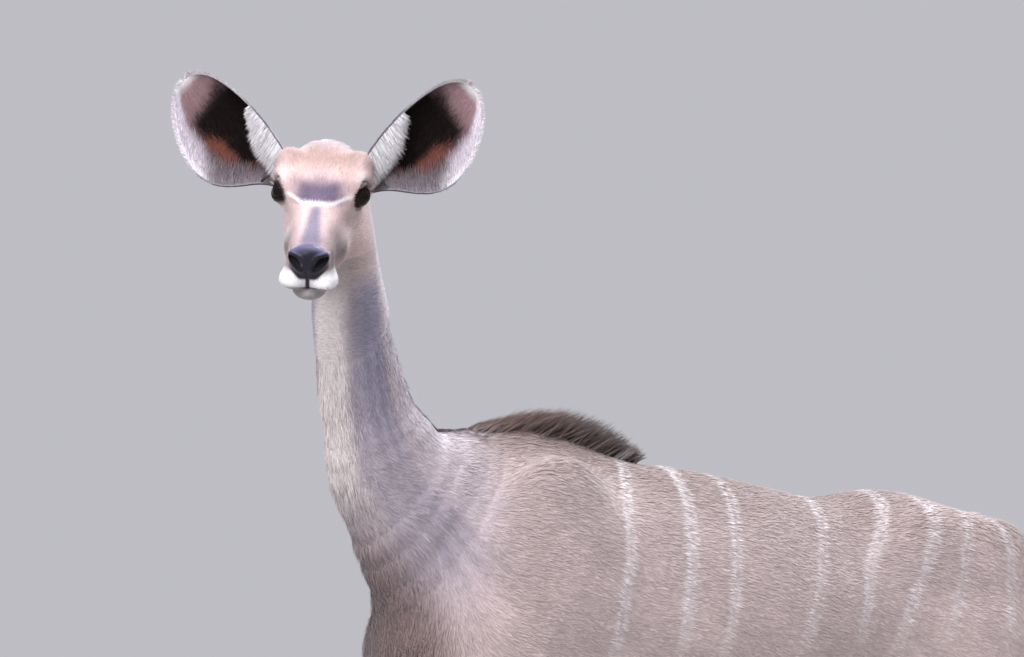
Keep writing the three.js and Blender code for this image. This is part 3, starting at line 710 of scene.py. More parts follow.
def body_colour(p, n):
    colour = np.tile(FAWN, (len(p), 1))
    below = np.interp(p[:, 1], *BACK_LINE) - p[:, 2]
    colour = mix(colour, FAWN_DARK, 0.75 * (1 - ramp(below, 12, 105)) * ramp(p[:, 1], -420, -330))
    colour = mix(colour, BELLY, 0.8 * ramp(-n[:, 2], 0.15, 0.75) * ramp(below, 180, 330))
    # painted light: lighter low on the flanks and over the rump, a fill for parts that the light from above
    # leaves in shade
    painted_fill_light = 0.22 * ramp(below, 90, 260) + 0.22 * ramp(p[:, 1], 330, 460)
    colour = colour * (1 + painted_fill_light)[:, None]
    colour = colour * (1 + 0.06 * wave(p, 70, 1.0) + 0.04 * wave(p, 19, 2.0))[:, None]
    colour = mix(colour, WHITE, 0.95 * stripe_share(p) * ramp(p[:, 1], -330, -240) * (p[:, 2] > 760))
    # the neck runs from fawn at the shoulder to blue-grey, white along the throat
    up_neck = ramp(p[:, 2] - 1.1 * (p[:, 1] + 470), 900, 1130) * (1 - ramp(p[:, 1], -430, -350))
    up_neck = up_neck * ramp(-p[:, 1], 330, 470)
    fore = neck_front(p)
    high = ramp(p[:, 2], 1170, 1330)
    tone = mix(np.tile(NECK_FAWN, (len(p), 1)), LAVENDER * 1.05, (0.15 + 0.4 * high) * ramp(-fore, -0.2, 0.6))
    tone = mix(tone, NECK_GREY, (0.30 + 0.45 * high) * band(fore, 0.45, 0.22, 0.42))
    streaks = 0.5 + 0.5 * np.sin(fore * 23 + 1.3 * wave(p, 120, 3.0))
    tone = mix(tone, NECK_GREY * 0.6, 0.32 * streaks * band(fore, 0.45, 0.3, 0.3))
    tone = mix(tone, CREAM, ramp(fore, 0.86, 0.98) * 0.9 * ramp(p[:, 2], 1080, 1200))
    colour = mix(colour, tone, up_neck)
    shaggy = ramp(-n[:, 1], 0.2, 0.9) * ramp(-p[:, 1], 470, 540)
    shaggy = shaggy * (1 - ramp(p[:, 2], 1010, 1130)) * (p[:, 2] > 800)
    return mix(colour, BRISKET, 0.75 * shaggy)


def leg_colour(p, n, colour):
    fore = p[:, 1] < 0
    inner = -np.sign(p[:, 0]) * n[:, 0]
    tone = mix(np.tile(TAWNY, (len(p), 1)), CREAM, 0.55 * ramp(inner, 0.2, 0.8) * ramp(p[:, 2], 300, 560))
    tone = mix(tone, MANE, 0.7 * band(p[:, 2], 500, 40, 45) * fore * ramp(inner, -0.1, 0.6))
    tone = mix(tone, CREAM, 0.45 * ramp(-n[:, 1], 0.2, 0.9) * band(p[:, 2], 300, 130, 60))
    tone = mix(tone, MANE, 0.82 * (1 - ramp(p[:, 2], 92, 170)) * ramp(n[:, 1], -0.9, 0.1))
    tone = mix(tone, WHITE, 0.8 * band(p[:, 2], 84, 9, 8) * ramp(-n[:, 1], 0.5, 0.9))
    low = 1 - ramp(p[:, 2], 640, 770)
    return mix(colour, tone, low)


def tail_colour(p, colour):
    on_tail = ramp(p[:, 1] - 0.25 * (1040 - p[:, 2]), 560, 600) * (np.abs(p[:, 0]) < 45)
    tone = mix(np.tile(FAWN, (len(p), 1)), WHITE, 0.85 * ramp(np.abs(p[:, 0]), 5, 12))
    tone = mix(tone, DARK, 1 - ramp(p[:, 2], 720, 790))
    return mix(colour, tone, on_tail * (p[:, 1] > 560))


# %% Colour of the head
def nose_pad(h):
    """Share of bare black skin at the end of the muzzle."""
    x, y, z = np.abs(h[:, 0]), h[:, 1], h[:, 2]
    pad = (1 - ramp(x - 0.32 * (z + 60), 28, 32)) * ramp(z, -74, -68) * (1 - ramp(y, -184, -179))
    pad = pad * (1 - ramp(x - 6 - (z + 74) * 1.1, 0, 6) * (z < -48))
    groove = (1 - ramp(x, 2.2, 4.4)) * (y < -180) * ramp(z, -90, -86) * (1 - ramp(z, -62, -58))
    return np.clip(np.maximum(pad, groove), 0, 1)


def head_colour(p, n):
    """In u, v and w, the way to the side, up and ahead, with the head's pitch taken out."""
    h = to_head(p)
    upright = h @ turn_x(HEAD_PITCH).T
    u, v, w = np.abs(upright[:, 0]), upright[:, 2], -upright[:, 1]
    facing = n @ HEAD_TURN @ turn_x(HEAD_PITCH).T
    front = ramp(w, -20, 20)
    colour = np.tile(FACE, (len(p), 1)) * (1 + 0.08 * wave(p, 16, 7.0))[:, None]
    colour = mix(colour, FOREHEAD, 0.85 * ramp(v, 18, 50) * (1 - 0.5 * ramp(u, 40, 60)))
    # darker over the crown: its brownish tone, and painted shade that holds back the strong light from above
    colour = mix(colour, FOREHEAD * 0.6, 0.8 * ramp(v, 56, 80))
    colour = mix(colour, NECK_FAWN, 0.75 * (1 - ramp(w, -90, -20)))
    # shaded hollows beside the bridge and under the cheekbones
    colour = mix(colour, FACE_GREY, 0.35 * band(u, 30, 5, 12) * ramp(-v, 30, 60) * front)
    colour = mix(colour, CHEEK, 0.38 * ramp(u, 40, 62) * ramp(-v, 10, 60) * ramp(w, -40, 30))
    # a grey band over the white bar, and a grey stripe down the bridge that widens to the nose
    brow = (1 - ramp(v - 0.12 * u, 6, 28)) * (1 - ramp(u, 20, 52)) * ramp(v, -19, -12)
    colour = mix(colour, FACE_GREY, 0.95 * brow * front)
    colour = mix(colour, FACE_GREY, 0.35 * hill(u, 16) * hill(v - 24, 14) * front)
    stripe = 1 - ramp(u, 2 + 5 * ramp(-v, 20, 80), 14 + 12 * ramp(-v, 20, 80))
    colour = mix(colour, BRIDGE, 0.9 * stripe * ramp(-v, 12, 24) * front)
    colour = mix(colour, FACE_GREY, 0.5 * stripe * ramp(-v, 50, 78) * front)
    # painted highlight: a soft white patch on the outer brow above each eye
    colour = mix(colour, WHITE, 0.45 * hill(u - 62, 11) * hill(v - 26, 12) * front)
    bar_height = -14.5 + 11.5 * ramp(u, 18, 50)
    bar = (1 - ramp(np.abs(v - bar_height), 1.3, 3.8)) * (1 - ramp(u, 50, 58)) * front
    colour = mix(colour, WHITE, bar)
    colour = mix(colour, CHEEK, 0.95 * hill(u - 46, 17) * hill(v + 82, 19) * ramp(w, 10, 60))
    for spot_u, spot_v in ((50, -38), (47, -55), (54, -24)):
        colour = mix(colour, WHITE, 0.4 * hill(u - spot_u, 5) * hill(v - spot_v, 5) * front)
    # white lips over a cream chin darkened with painted shade, the bare black nose with a painted sheen on
    # its top, and painted shade in the fold of the mouth and inside the nostrils
    level, over_mouth, reach = mouth_places(h)
    lips = (1 - ramp(h[:, 1] - 0.1 * h[:, 2], -152, -132)) * (1 - ramp(level, 24, 30)) * ramp(level, -2, 1)
    colour = mix(colour, WHITE, 0.97 * lips)
    # painted shade: the cream of the chin at half its brightness, for the shade under the jaw
    chin = (1 - ramp(level, -2, 2)) * (1 - ramp(h[:, 1], -60, 60))
    colour = mix(colour, CREAM * 0.48, 0.9 * chin)
    colour = mix(colour, CHEEK, 0.85 * hill(u - 37, 6) * hill(h[:, 2] + 50, 14) * (h[:, 1] < -150))
    pad = nose_pad(h)
    colour = mix(colour, NOSE, pad)
    # painted sheen: where the pad faces upwards, its top is a lighter blue-grey
    colour = mix(colour, NOSE_TOP_SHEEN, pad * ramp(facing[:, 2], 0.15, 0.75) * ramp(h[:, 2], -44, -30))
    # painted shade: a dark line in the fold of the mouth, and inside the nostrils a black deeper than the
    # pad's
    colour = mix(colour, DARK, 0.9 * hill(over_mouth, 1.6) * reach)
    colour = mix(colour, DARK * 0.1, (1 - ramp(nostril_share(h), 0.95, 1.3)) * (h[:, 1] < -160))
    # dark lids, drawn out towards the nose, and the dark roots of the ears
    for s in (1, -1):
        a, _, c, edge = eye_places(h, s)
        ahead = np.clip(-a - 10, 0, 40)
        near = ramp(c, 0, 8)
        colour = mix(colour, CHEEK, 0.6 * (1 - ramp(edge - 0.15 * ahead, 4, 13)) * near)
        colour = mix(colour, DARK * 0.3, (1 - ramp(edge - 0.1 * ahead, 3.4, 6.4)) * near)
        colour = mix(colour, DARK, 0.8 * hill(np.linalg.norm(h - [s * 68, 36, 26], axis=1), 17))
    return colour


def coat_colour(p, n):
    """The colour of skin and coat at points with these normals."""
    colour = tail_colour(p, leg_colour(p, n, body_colour(p, n)))
    h = to_head(p)
    on_head = 1 - ramp(h[:, 1] * 0.84 - h[:, 2] * 0.32, 50, 130)
    on_head = on_head * (1 - ramp(np.linalg.norm(h - [0, -50, -30], axis=1), 160, 205))
    on_head = on_head * (1 - ramp(h[:, 1], -80, -20) * (1 - ramp(h[:, 2], -165, -110)))
    return mix(colour, head_colour(p, n), on_head)


# %% Give the skin its colours
def paint(obj, colours, name="Coat"):
    layer = obj.data.color_attributes.get(name) or obj.data.color_attributes.new(name, "FLOAT_COLOR", "POINT")
    rgba = np.ones((len(colours), 4), np.float32)
    rgba[:, :3] = np.clip(colours, 0, 1)
    layer.data.foreach_set("color", rgba.ravel())


# the lowest skin sinks into the hooves, so that horn closes over it
skin_points = scene_to_mm(coords(skin))
skin_points[:, 2] -= 9 * (1 - ramp(skin_points[:, 2], 54, 74))
set_coords(skin, mm_to_scene(skin_points))
skin_normals = normals_of(skin)
paint(skin, coat_colour(skin_points, skin_normals))
skin_head = to_head(skin_points)
bare = nose_pad(skin_head) * (skin_head[:, 1] < -150)
paint(skin, np.repeat(bare[:, None], 3, 1), "Bare")
print("bare nose skin points:", int((bare > 0.5).sum()))

# %% [markdown]
# ## Materials
# Fur scatters light softly, with a faint sheen along its edges, and each hair differs a little from the
# next. The coat's colour comes from the points of the mesh, and a shared group adds fine streaks and a
# matching bump. Nose and eyes are wet, so they get low roughness; horn lies in between.


# %% Helpers for shader nodes
def set_inputs(node, values):
    for key, value in values.items():
        node.inputs[key].default_value = value


def new_node(nodes, kind, inputs=None, **settings):
    node = nodes.new("ShaderNode" + kind)
    for key, value in settings.items():
        setattr(node, key, value)
    set_inputs(node, inputs or {})
    return node


def new_material(name, values):
    material = bpy.data.materials.new(name)
    material.use_nodes = True
    nodes = material.node_tree.nodes
    surface = nodes["Principled BSDF"]
    set_inputs(surface, values)
    return material, nodes, material.node_tree.links.new, surface


# %% A group of fine hair grain, shared by skin, coat and ears
def grain_group():
    """Darker and lighter streaks in a colour, and their height for a bump."""
    group = bpy.data.node_groups.new("hair_grain", "ShaderNodeTree")
    for name, kind, direction, default in (
            ("Scale", "Float", "INPUT", 260.0), ("Strength", "Float", "INPUT", 0.25),
            ("Color", "Color", "INPUT", (0.5, 0.4, 0.4, 1)), ("Color", "Color", "OUTPUT", None),
            ("Height", "Float", "OUTPUT", None)):
        socket = group.interface.new_socket(name, in_out=direction, socket_type="NodeSocket" + kind)
        if default:
            socket.default_value = default
    nodes, link = group.nodes, group.links.new
    inputs, outputs = nodes.new("NodeGroupInput"), nodes.new("NodeGroupOutput")
    place = new_node(nodes, "TexCoord")
    squeeze = new_node(nodes, "Mapping", {"Scale": (1.0, 0.22, 0.45)})
    streaks = new_node(nodes, "TexNoise", {"Detail": 3.0, "Roughness": 0.65})
    patches = new_node(nodes, "TexNoise", {"Scale": 24.0, "Detail": 2.0})
    both = new_node(nodes, "Math", operation="ADD")
    centred = new_node(nodes, "Math", {1: 1.0}, operation="SUBTRACT")
    amount = new_node(nodes, "Math", operation="MULTIPLY")
    gain = new_node(nodes, "Math", {1: 1.0}, operation="ADD")
    scaled = new_node(nodes, "VectorMath", operation="SCALE")
    link(place.outputs["Object"], squeeze.inputs["Vector"])
    link(squeeze.outputs["Vector"], streaks.inputs["Vector"])
    link(inputs.outputs["Scale"], streaks.inputs["Scale"])
    link(place.outputs["Object"], patches.inputs["Vector"])
    link(streaks.outputs["Fac"], both.inputs[0])
    link(patches.outputs["Fac"], both.inputs[1])
    link(both.outputs[0], centred.inputs[0])
    link(centred.outputs[0], amount.inputs[0])
    link(inputs.outputs["Strength"], amount.inputs[1])
    link(amount.outputs[0], gain.inputs[0])
    link(inputs.outputs["Color"], scaled.inputs[0])
    link(gain.outputs[0], scaled.inputs["Scale"])
    link(scaled.outputs[0], outputs.inputs["Color"])
    link(streaks.outputs["Fac"], outputs.inputs["Height"])
    return group


GRAIN = grain_group()
print("nodes in the grain:", len(GRAIN.nodes))


# %% Fur and skin materials
def fur_material(name, scale, strength, roughness=0.72, sheen=0.25, bump=0.35):
    """The painted colour with grain over it: its scale and strength, and the finish of the surface."""
    material, nodes, link, surface = new_material(name, {
        "Roughness": roughness, "Sheen Weight": sheen, "Sheen Roughness": 0.45, "Specular IOR Level": 0.12})
    painted = new_node(nodes, "Attribute", attribute_name="Coat")
    grain = new_node(nodes, "Group", node_tree=GRAIN)
    set_inputs(grain, {"Scale": scale, "Strength": strength})
    relief = new_node(nodes, "Bump", {"Strength": bump, "Distance": 0.0012})
    link(painted.outputs["Color"], grain.inputs["Color"])
    link(grain.outputs["Color"], surface.inputs["Base Color"])
    link(grain.outputs["Height"], relief.inputs["Height"])
    link(relief.outputs["Normal"], surface.inputs["Normal"])
    return material


def skin_material():
    """Fur like the rest, but wet and cobbled where the nose is bare."""
    material = fur_material("hide", 420.0, 0.28)
    nodes, link = material.node_tree.nodes, material.node_tree.links.new
    surface = nodes["Principled BSDF"]
    bare = new_node(nodes, "Attribute", attribute_name="Bare")
    wet = new_node(nodes, "MapRange", {"To Min": 0.72, "To Max": 0.27})
    cobbles = new_node(nodes, "TexVoronoi", {"Scale": 520.0})
    height = new_node(nodes, "Math", operation="MULTIPLY")
    relief = new_node(nodes, "Bump", {"Strength": 0.35, "Distance": 0.0006}, invert=True)
    place = new_node(nodes, "TexCoord")
    fur_relief = surface.inputs["Normal"].links[0].from_node
    link(bare.outputs["Fac"], wet.inputs["Value"])
    link(wet.outputs["Result"], surface.inputs["Roughness"])
    link(place.outputs["Object"], cobbles.inputs["Vector"])
    link(cobbles.outputs["Distance"], height.inputs[0])
    link(bare.outputs["Fac"], height.inputs[1])
    link(height.outputs[0], relief.inputs["Height"])
    link(fur_relief.outputs["Normal"], relief.inputs["Normal"])
    link(relief.outputs["Normal"], surface.inputs["Normal"])
    return material


HIDE = skin_material()
FUR = fur_material("short_coat", 700.0, 0.30, roughness=0.78, sheen=0.3, bump=0.15)
LONG_HAIR = fur_material("long_hair", 500.0, 0.25, roughness=0.6, sheen=0.05, bump=0.1)
EAR_SKIN = fur_material("ear_skin", 600.0, 0.3, roughness=0.85, sheen=0.0, bump=0.4)
finish(skin, HIDE, FLESH_NODES)

# %% [markdown]
# ## Ears
# Each ear is a thin shell: a funnel at the root that opens to a wide scoop, broadest near the root, with a
# round tip. A flat grid is added as the shell, each of its points is moved to its place in the scoop,
# and Solidify gives it the thickness of skin. The hollow side is nearly black and bare, the rim is pale.

# %% The scoop's rows: share of the length, reach inwards and outwards, depth
EAR_LENGTH = 196.0
EAR_THICKNESS = 0.0034
EAR_ROWS = np.array([
    [-0.2, 14, 16, 14], [0.0, 22, 36, 24], [0.12, 29, 66, 34], [0.26, 35, 88, 38], [0.42, 39, 94, 36],
    [0.58, 40, 86, 31], [0.72, 38, 73, 24], [0.84, 33, 56, 17], [0.92, 25, 40, 11], [0.975, 15, 24, 6],
    [1.0, 6, 9, 3]], float)


def ear_axes(s):
    """Where an ear is rooted, and its ways: to the tip, out of the hollow, and to the outer edge."""
    along = unit([s * (0.75 - s * 0.03), 0.14, 0.65 + s * 0.03])
    opening = np.array([s * 0.22, -0.96, 0.05])
    opening = unit(opening - along * opening.dot(along))
    outer = np.cross(along, opening)
    outer = -outer if outer[2] > 0 else outer
    return np.array([s * 74.0, 40.0, 38.0]), along, opening, unit(outer)


EAR_SHARES = np.linspace(-0.2, 1, 241)
WINDOW = 0.07


def eased(column):
    """A row's size without kinks: a running mean that is narrower towards the tip."""
    out = []
    for share in EAR_SHARES:
        around = share + np.linspace(-1, 1, 15) * min(WINDOW, 1.0 - share, share + 0.2)
        out.append(np.interp(around, EAR_ROWS[:, 0], EAR_ROWS[:, column]).mean())
    return np.array(out)


EAR_SIZES = [eased(i) for i in (1, 2, 3)]


def smooth_rows(t):
    """Reach inwards and outwards and depth, at shares of the ear's length."""
    return [np.interp(t, EAR_SHARES, sizes) for sizes in EAR_SIZES]


def ear_point(s, t, u):
    """The point at a share t of the length, and at u across, from -1 at the inner edge to 1 at the outer."""
    base, along, opening, outer = ear_axes(s)
    inner, wide, deep = smooth_rows(t)
    reach = np.where(u < 0, inner, wide) * np.sin(u * math.pi / 2)
    back = -deep * np.maximum(np.cos(u * math.pi / 2), 0) ** 1.3 - 12 * t * t
    local = base + np.outer(EAR_LENGTH * t, along) + np.outer(reach, outer) + np.outer(back, opening)
    return local @ turn_x(-HEAD_PITCH).T @ HEAD_TURN.T + HEAD_AT


def ear_direction(v):
    return unit(np.asarray(v, float) @ turn_x(-HEAD_PITCH).T @ HEAD_TURN.T)


def make_ear(s, name):
    deselect()
    bpy.ops.mesh.primitive_grid_add(x_subdivisions=28, y_subdivisions=40, size=2)
    obj = bpy.context.object
    obj.name = name
    flat = coords(obj)
    t = EAR_SHARES[0] + 1.2 * ((flat[:, 1] + 1) / 2) ** 0.92
    set_coords(obj, mm_to_scene(ear_point(s, t, flat[:, 0])))
    modify(obj, "SMOOTH", factor=0.5, iterations=2)
    modify(obj, "SOLIDIFY", thickness=EAR_THICKNESS, offset=0.0)
    modify(obj, "SUBSURF", levels=1, render_levels=1)
    only(obj)
    bpy.ops.object.mode_set(mode="EDIT")
    bpy.ops.mesh.select_all(action="SELECT")
    bpy.ops.mesh.normals_make_consistent(inside=False)
    bpy.ops.object.mode_set(mode="OBJECT")
    bpy.ops.object.shade_smooth()
    return obj


# %% Where a point of an ear lies: along it, across it, and on which side
def ear_places(s, p):
    base, along, _, outer = ear_axes(s)
    r = to_head(p) @ turn_x(HEAD_PITCH).T - base
    t = r @ along / EAR_LENGTH
    inner, wide, _ = smooth_rows(t)
    x = r @ outer
    share = np.where(x < 0, x / np.maximum(inner, 1), x / np.maximum(wide, 1))
    u = np.arcsin(np.clip(share, -1, 1)) / (math.pi / 2)
    return t, u


def ear_inside(t, u):
    """The hollow side: black in the depth, brown towards the tip, pale hair round the outer rim."""
    uneven = 0.5 * np.sin(t * 17 + 3 * u) + 0.3 * np.sin(t * 41 + 5 * u) + 0.2 * np.sin(t * 173 - 9 * u)
    x = np.sin(u * math.pi / 2)
    colour = np.tile(EAR_BLACK, (len(t), 1))
    colour = mix(colour, EAR_BROWN, 0.9 * ramp(t + 0.05 * uneven, 0.66, 0.88))
    colour = mix(colour, EAR_BROWN, 0.4 * ramp(x, 0.5, 0.7))
    rust = band(x + 0.07 * uneven, 0.56, 0.06, 0.16) * band(t + 0.03 * uneven, 0.38, 0.08, 0.16)
    low_rust = band(x, 0.35, 0.08, 0.2) * band(t + 0.02 * uneven, 0.10, 0.03, 0.07)
    colour = mix(colour, EAR_RUST, 0.85 * np.maximum(rust, low_rust))
    edge = 0.68 + 0.08 * ramp(t, 0.1, 0.5) + 0.06 * uneven
    pale = mix(np.tile(LAVENDER * 0.30, (len(t), 1)), LAVENDER * 1.35, ramp(t + 0.25 * x, 0.50, 0.78))
    pale_share = 0.95 * ramp(x, edge - 0.12, edge + 0.12)
    colour = colour * (1 - pale_share)[:, None] + pale * pale_share[:, None]
    colour = mix(colour, WHITE * 0.9, 0.95 * ramp(x, 0.84, 0.96) * ramp(t, 0.24, 0.5))
    colour = mix(colour, LAVENDER * 0.8, ramp(-x, 0.90, 0.985))
    return mix(colour, WHITE * 0.8, ramp(t + 0.015 * uneven, 0.91, 0.99))


def ear_colour(s, p, n):
    t, u = ear_places(s, p)
    opening = ear_direction(ear_axes(s)[2])
    hollow = ramp(n @ opening, -0.15, 0.15)
    back = mix(np.tile(NECK_FAWN * 0.6, (len(p), 1)), FAWN * 0.7, ramp(t, 0.3, 1))
    back = mix(back, CREAM, 0.5 * ramp(np.abs(u), 0.8, 1))
    colour = mix(back, ear_inside(t, u), hollow)
    return mix(colour, DARK, 0.5 * (1 - ramp(t, -0.06, 0.03)))


def ear_facing(s, t, u):
    """The normal of the hollow side."""
    e = 0.01
    run = ear_point(s, t + e, u) - ear_point(s, t - e, u)
    cross = ear_point(s, t, np.minimum(u + e, 1)) - ear_point(s, t, np.maximum(u - e, -1))
    facing = unit(np.cross(run, cross))
    opening = ear_direction(ear_axes(s)[2])
    return facing * np.sign(facing @ opening)[:, None]


SIDES = ((1, "left"), (-1, "right"))
for s, side in SIDES:
    ear = make_ear(s, "ear_shell_" + side)
    paint(ear, ear_colour(s, scene_to_mm(coords(ear)), normals_of(ear)))
    finish(ear, EAR_SKIN, ["ear_" + side])

# %% [markdown]
# ## Eyes
# A kudu's eye is large, wet and so dark that pupil and iris hardly part. The ball is a sphere with the
# cornea's bulge drawn out of it, where the lids open. It keeps the solid's centre and size.


# %% Eyeball with its cornea
def eye_material():
    material, nodes, link, surface = new_material("wet_eye", {
        "Roughness": 0.06, "IOR": 1.336, "Specular IOR Level": 0.3})
    painted = new_node(nodes, "Attribute", attribute_name="Coat")
    link(painted.outputs["Color"], surface.inputs["Base Color"])
    return material


WET_EYE = eye_material()
BALL_RADIUS, CORNEA_RADIUS, CORNEA_BULGE = 19.5, 14.5, 1.3
IRIS, PUPIL, EYE_WHITE = [0.012, 0.006, 0.004], [0.002, 0.002, 0.003], [0.02, 0.012, 0.010]


def make_eye(s, name):
    centre, out, long, high = eye_frame(s)
    middle = mm_to_scene(from_head(centre[None]))[0]
    deselect()
    bpy.ops.mesh.primitive_uv_sphere_add(
        segments=64, ring_count=40, radius=BALL_RADIUS / 1000, location=middle)
    obj = bpy.context.object
    obj.name = name
    bpy.ops.object.transform_apply(location=True, rotation=True, scale=True)
    p = to_head(scene_to_mm(coords(obj))) - centre
    a, b, c = p @ long, p @ high, p @ out
    rho = np.hypot(a, b)
    bulge = np.where(c > 0, CORNEA_BULGE * (1 - ramp(rho, 4, CORNEA_RADIUS)), 0)
    set_coords(obj, mm_to_scene(from_head(p + bulge[:, None] * out + centre)))
    bpy.ops.object.shade_smooth()
    pupil = (1 - ramp(np.hypot(a / 8.5, b / 5.0), 0.85, 1.0)) * (c > 0)
    colours = mix(np.tile(IRIS, (len(p), 1)), PUPIL, pupil)
    paint(obj, mix(colours, EYE_WHITE, ramp(rho, 14.2, 15.6)))
    return obj


for s, side in SIDES:
    finish(make_eye(s, "eyeball_" + side), WET_EYE, ["eye_" + side])

# %% [markdown]
# ## Hooves
# The eight claws are horn: dark, with fine rings that grow down from the coronet, worn smooth at the toe.
# Copies of the solids are bevelled and subdivided, so that the edges catch light as worn horn does.


# %% Horn
def horn_material():
    material, nodes, link, surface = new_material("hoof_horn", {})
    place = new_node(nodes, "TexCoord")
    squeeze = new_node(nodes, "Mapping", {"Scale": (1.5, 1.5, 14.0)})
    rings = new_node(nodes, "TexNoise", {"Scale": 22.0, "Detail": 4.0})
    tone = new_node(nodes, "ValToRGB")
    dark, light = tone.color_ramp.elements
    dark.position, dark.color = 0.3, (0.020, 0.017, 0.016, 1)
    light.position, light.color = 0.75, (0.095, 0.075, 0.062, 1)
    shine = new_node(nodes, "MapRange", {"To Min": 0.38, "To Max": 0.62})
    relief = new_node(nodes, "Bump", {"Strength": 0.4, "Distance": 0.001})
    link(place.outputs["Object"], squeeze.inputs["Vector"])
    link(squeeze.outputs["Vector"], rings.inputs["Vector"])
    link(rings.outputs["Fac"], tone.inputs["Fac"])
    link(tone.outputs["Color"], surface.inputs["Base Color"])
    link(rings.outputs["Fac"], shine.inputs["Value"])
    link(shine.outputs["Result"], surface.inputs["Roughness"])
    link(rings.outputs["Fac"], relief.inputs["Height"])
    link(relief.outputs["Normal"], surface.inputs["Normal"])
    return material


HORN = horn_material()
for node in [n for n in NODES if "hoof" in n]:
    claw = joined_copy("horn_" + node, [node])
    modify(claw, "BEVEL", width=0.0022, segments=2, limit_method="ANGLE", angle_limit=math.radians(28))
    modify(claw, "SUBSURF", subdivision_type="SIMPLE", levels=1, render_levels=1)
    bpy.ops.object.shade_smooth_by_angle(angle=math.radians(50))
    finish(claw, HORN, [node])

# %% [markdown]
# ## An unwrap of the skin for the coat
# Each tuft takes its place in a picture of the whole skin from its root. A thinned copy of the skin is
# unwrapped once, and each root looks up where it lies on it.

# %% Unwrap a thinned copy
deselect()
chart = skin.copy()
chart.data = skin.data.copy()
chart.parent = None
chart.hide_render = chart.hide_viewport = False
linked(chart)
modify(chart, "DECIMATE", ratio=0.04)
only(chart)
bpy.ops.object.mode_set(mode="EDIT")
bpy.ops.mesh.select_all(action="SELECT")
bpy.ops.mesh.quads_convert_to_tris()
bpy.ops.uv.smart_project(angle_limit=math.radians(66), island_margin=0.004)
bpy.ops.object.mode_set(mode="OBJECT")
chart_points = coords(chart)
chart_corners = np.array([f.vertices[:] for f in chart.data.polygons])
chart_uv = np.zeros(len(chart.data.loops) * 2)
chart.data.uv_layers.active.data.foreach_get("uv", chart_uv)
chart_uv = chart_uv.reshape(-1, 3, 2)
chart_tree = BVHTree.FromPolygons([Vector(v) for v in chart_points], [tuple(f) for f in chart_corners])
print("chart faces:", len(chart_corners))
bpy.data.objects.remove(chart)


def chart_places(p):
    """The unwrap's coordinates at the roots, in the scene's metres."""
    found = [chart_tree.find_nearest(Vector(q)) for q in p]
    face = np.array([f[2] if f[2] is not None else 0 for f in found])
    at = np.array([f[0] if f[0] is not None else (0, 0, 0) for f in found])
    a, b, c = (chart_points[chart_corners[face, i]] for i in range(3))
    area = np.linalg.norm(np.cross(b - a, c - a), axis=1) + 1e-12
    wa = np.linalg.norm(np.cross(b - at, c - at), axis=1) / area
    wb = np.linalg.norm(np.cross(a - at, c - at), axis=1) / area
    wc = np.clip(1 - wa - wb, 0, 1)
    uv = chart_uv[face]
    return uv[:, 0] * wa[:, None] + uv[:, 1] * wb[:, None] + uv[:, 2] * wc[:, None]


# %% [markdown]
# ## The short coat
# Short fur could be hair curves, but those don't leave the program. Each tuft is a thin, pointed blade of
# five points, rooted in the skin, lying almost flat along the lie of the coat. The lie runs from the nose
# backwards over the head, down the neck, back along the body and down the legs. Tufts are a few
# millimetres on the face and about thirty on the brisket.


# %% Which way the coat lies, and how long it is
def laid(v, n):
    """Directions turned to lie along the surface that has these normals."""
    return unit(v - n * (v * n).sum(1)[:, None])


def blend_ways(way, other, share):
    return way * (1 - share[:, None]) + other * share[:, None]


def lie_of_coat(p, n):
    """Back along the body, down the neck, chest, legs and rump, and backwards over the head."""
    h = to_head(p)
    lie = np.tile([0.0, 1.0, -0.38], (len(p), 1))
    up_neck = ramp(p[:, 2], 1150, 1300) * (1 - ramp(p[:, 1], -500, -380))
    lie = blend_ways(lie, np.array([0, 0.25, -1.0]), up_neck)
    on_chest = ramp(-p[:, 1], 380, 520) * (1 - ramp(p[:, 2], 1000, 1200))
    lie = blend_ways(lie, np.array([0, 0.35, -1.0]), on_chest)
    lie = blend_ways(lie, np.array([0, 0.12, -1.0]), 1 - ramp(p[:, 2], 640, 860))
    lie = blend_ways(lie, np.array([0, 0.2, -1.0]), ramp(p[:, 1], 420, 560) * (p[:, 2] < 1080))
    backwards = HEAD_TURN @ np.array([0, 1.0, 0.05])
    to_side = unit(h * [1, 0, 1] + [0, 0, 40]) @ HEAD_TURN.T
    on_head = (1 - ramp(h[:, 1], 50, 110)) * (np.linalg.norm(h - [0, -50, -40], axis=1) < 220)
    lie = unit(blend_ways(lie, backwards + 0.15 * to_side, on_head))
    return laid(lie + 0.14 * wave(p, 90, 4.0)[:, None] * np.cross(n, lie), n)


def coat_length(p):
    """In millimetres: short on face and legs, longer on brisket and rump."""
    h = to_head(p)
    from_nose = np.linalg.norm(h - [0, -190, -60], axis=1)
    length = 5.0 + 8.0 * ramp(from_nose, 30, 330) + 5.0 * ramp(from_nose, 300, 620)
    legs = 9.0 + 10.0 * ramp(p[:, 2], 260, 800)
    length = np.where(p[:, 2] < 820, np.minimum(length, legs), length)
    for s in (1, -1):
        _, _, c, edge = eye_places(h, s)
        length = length * (0.45 + 0.55 * ramp(edge + 30 * (1 - ramp(c, 0, 10)), 4, 22))
    length = length - 3 * ramp(from_nose, 420, 620) * ramp(p[:, 1], -440, -300)
    brisket = ramp(-p[:, 1], 470, 560) * band(p[:, 2], 980, 110, 80)
    rump = ramp(p[:, 1], 300, 420) * ramp(p[:, 2], 1060, 1130)
    return length + 12 * brisket + 8 * rump


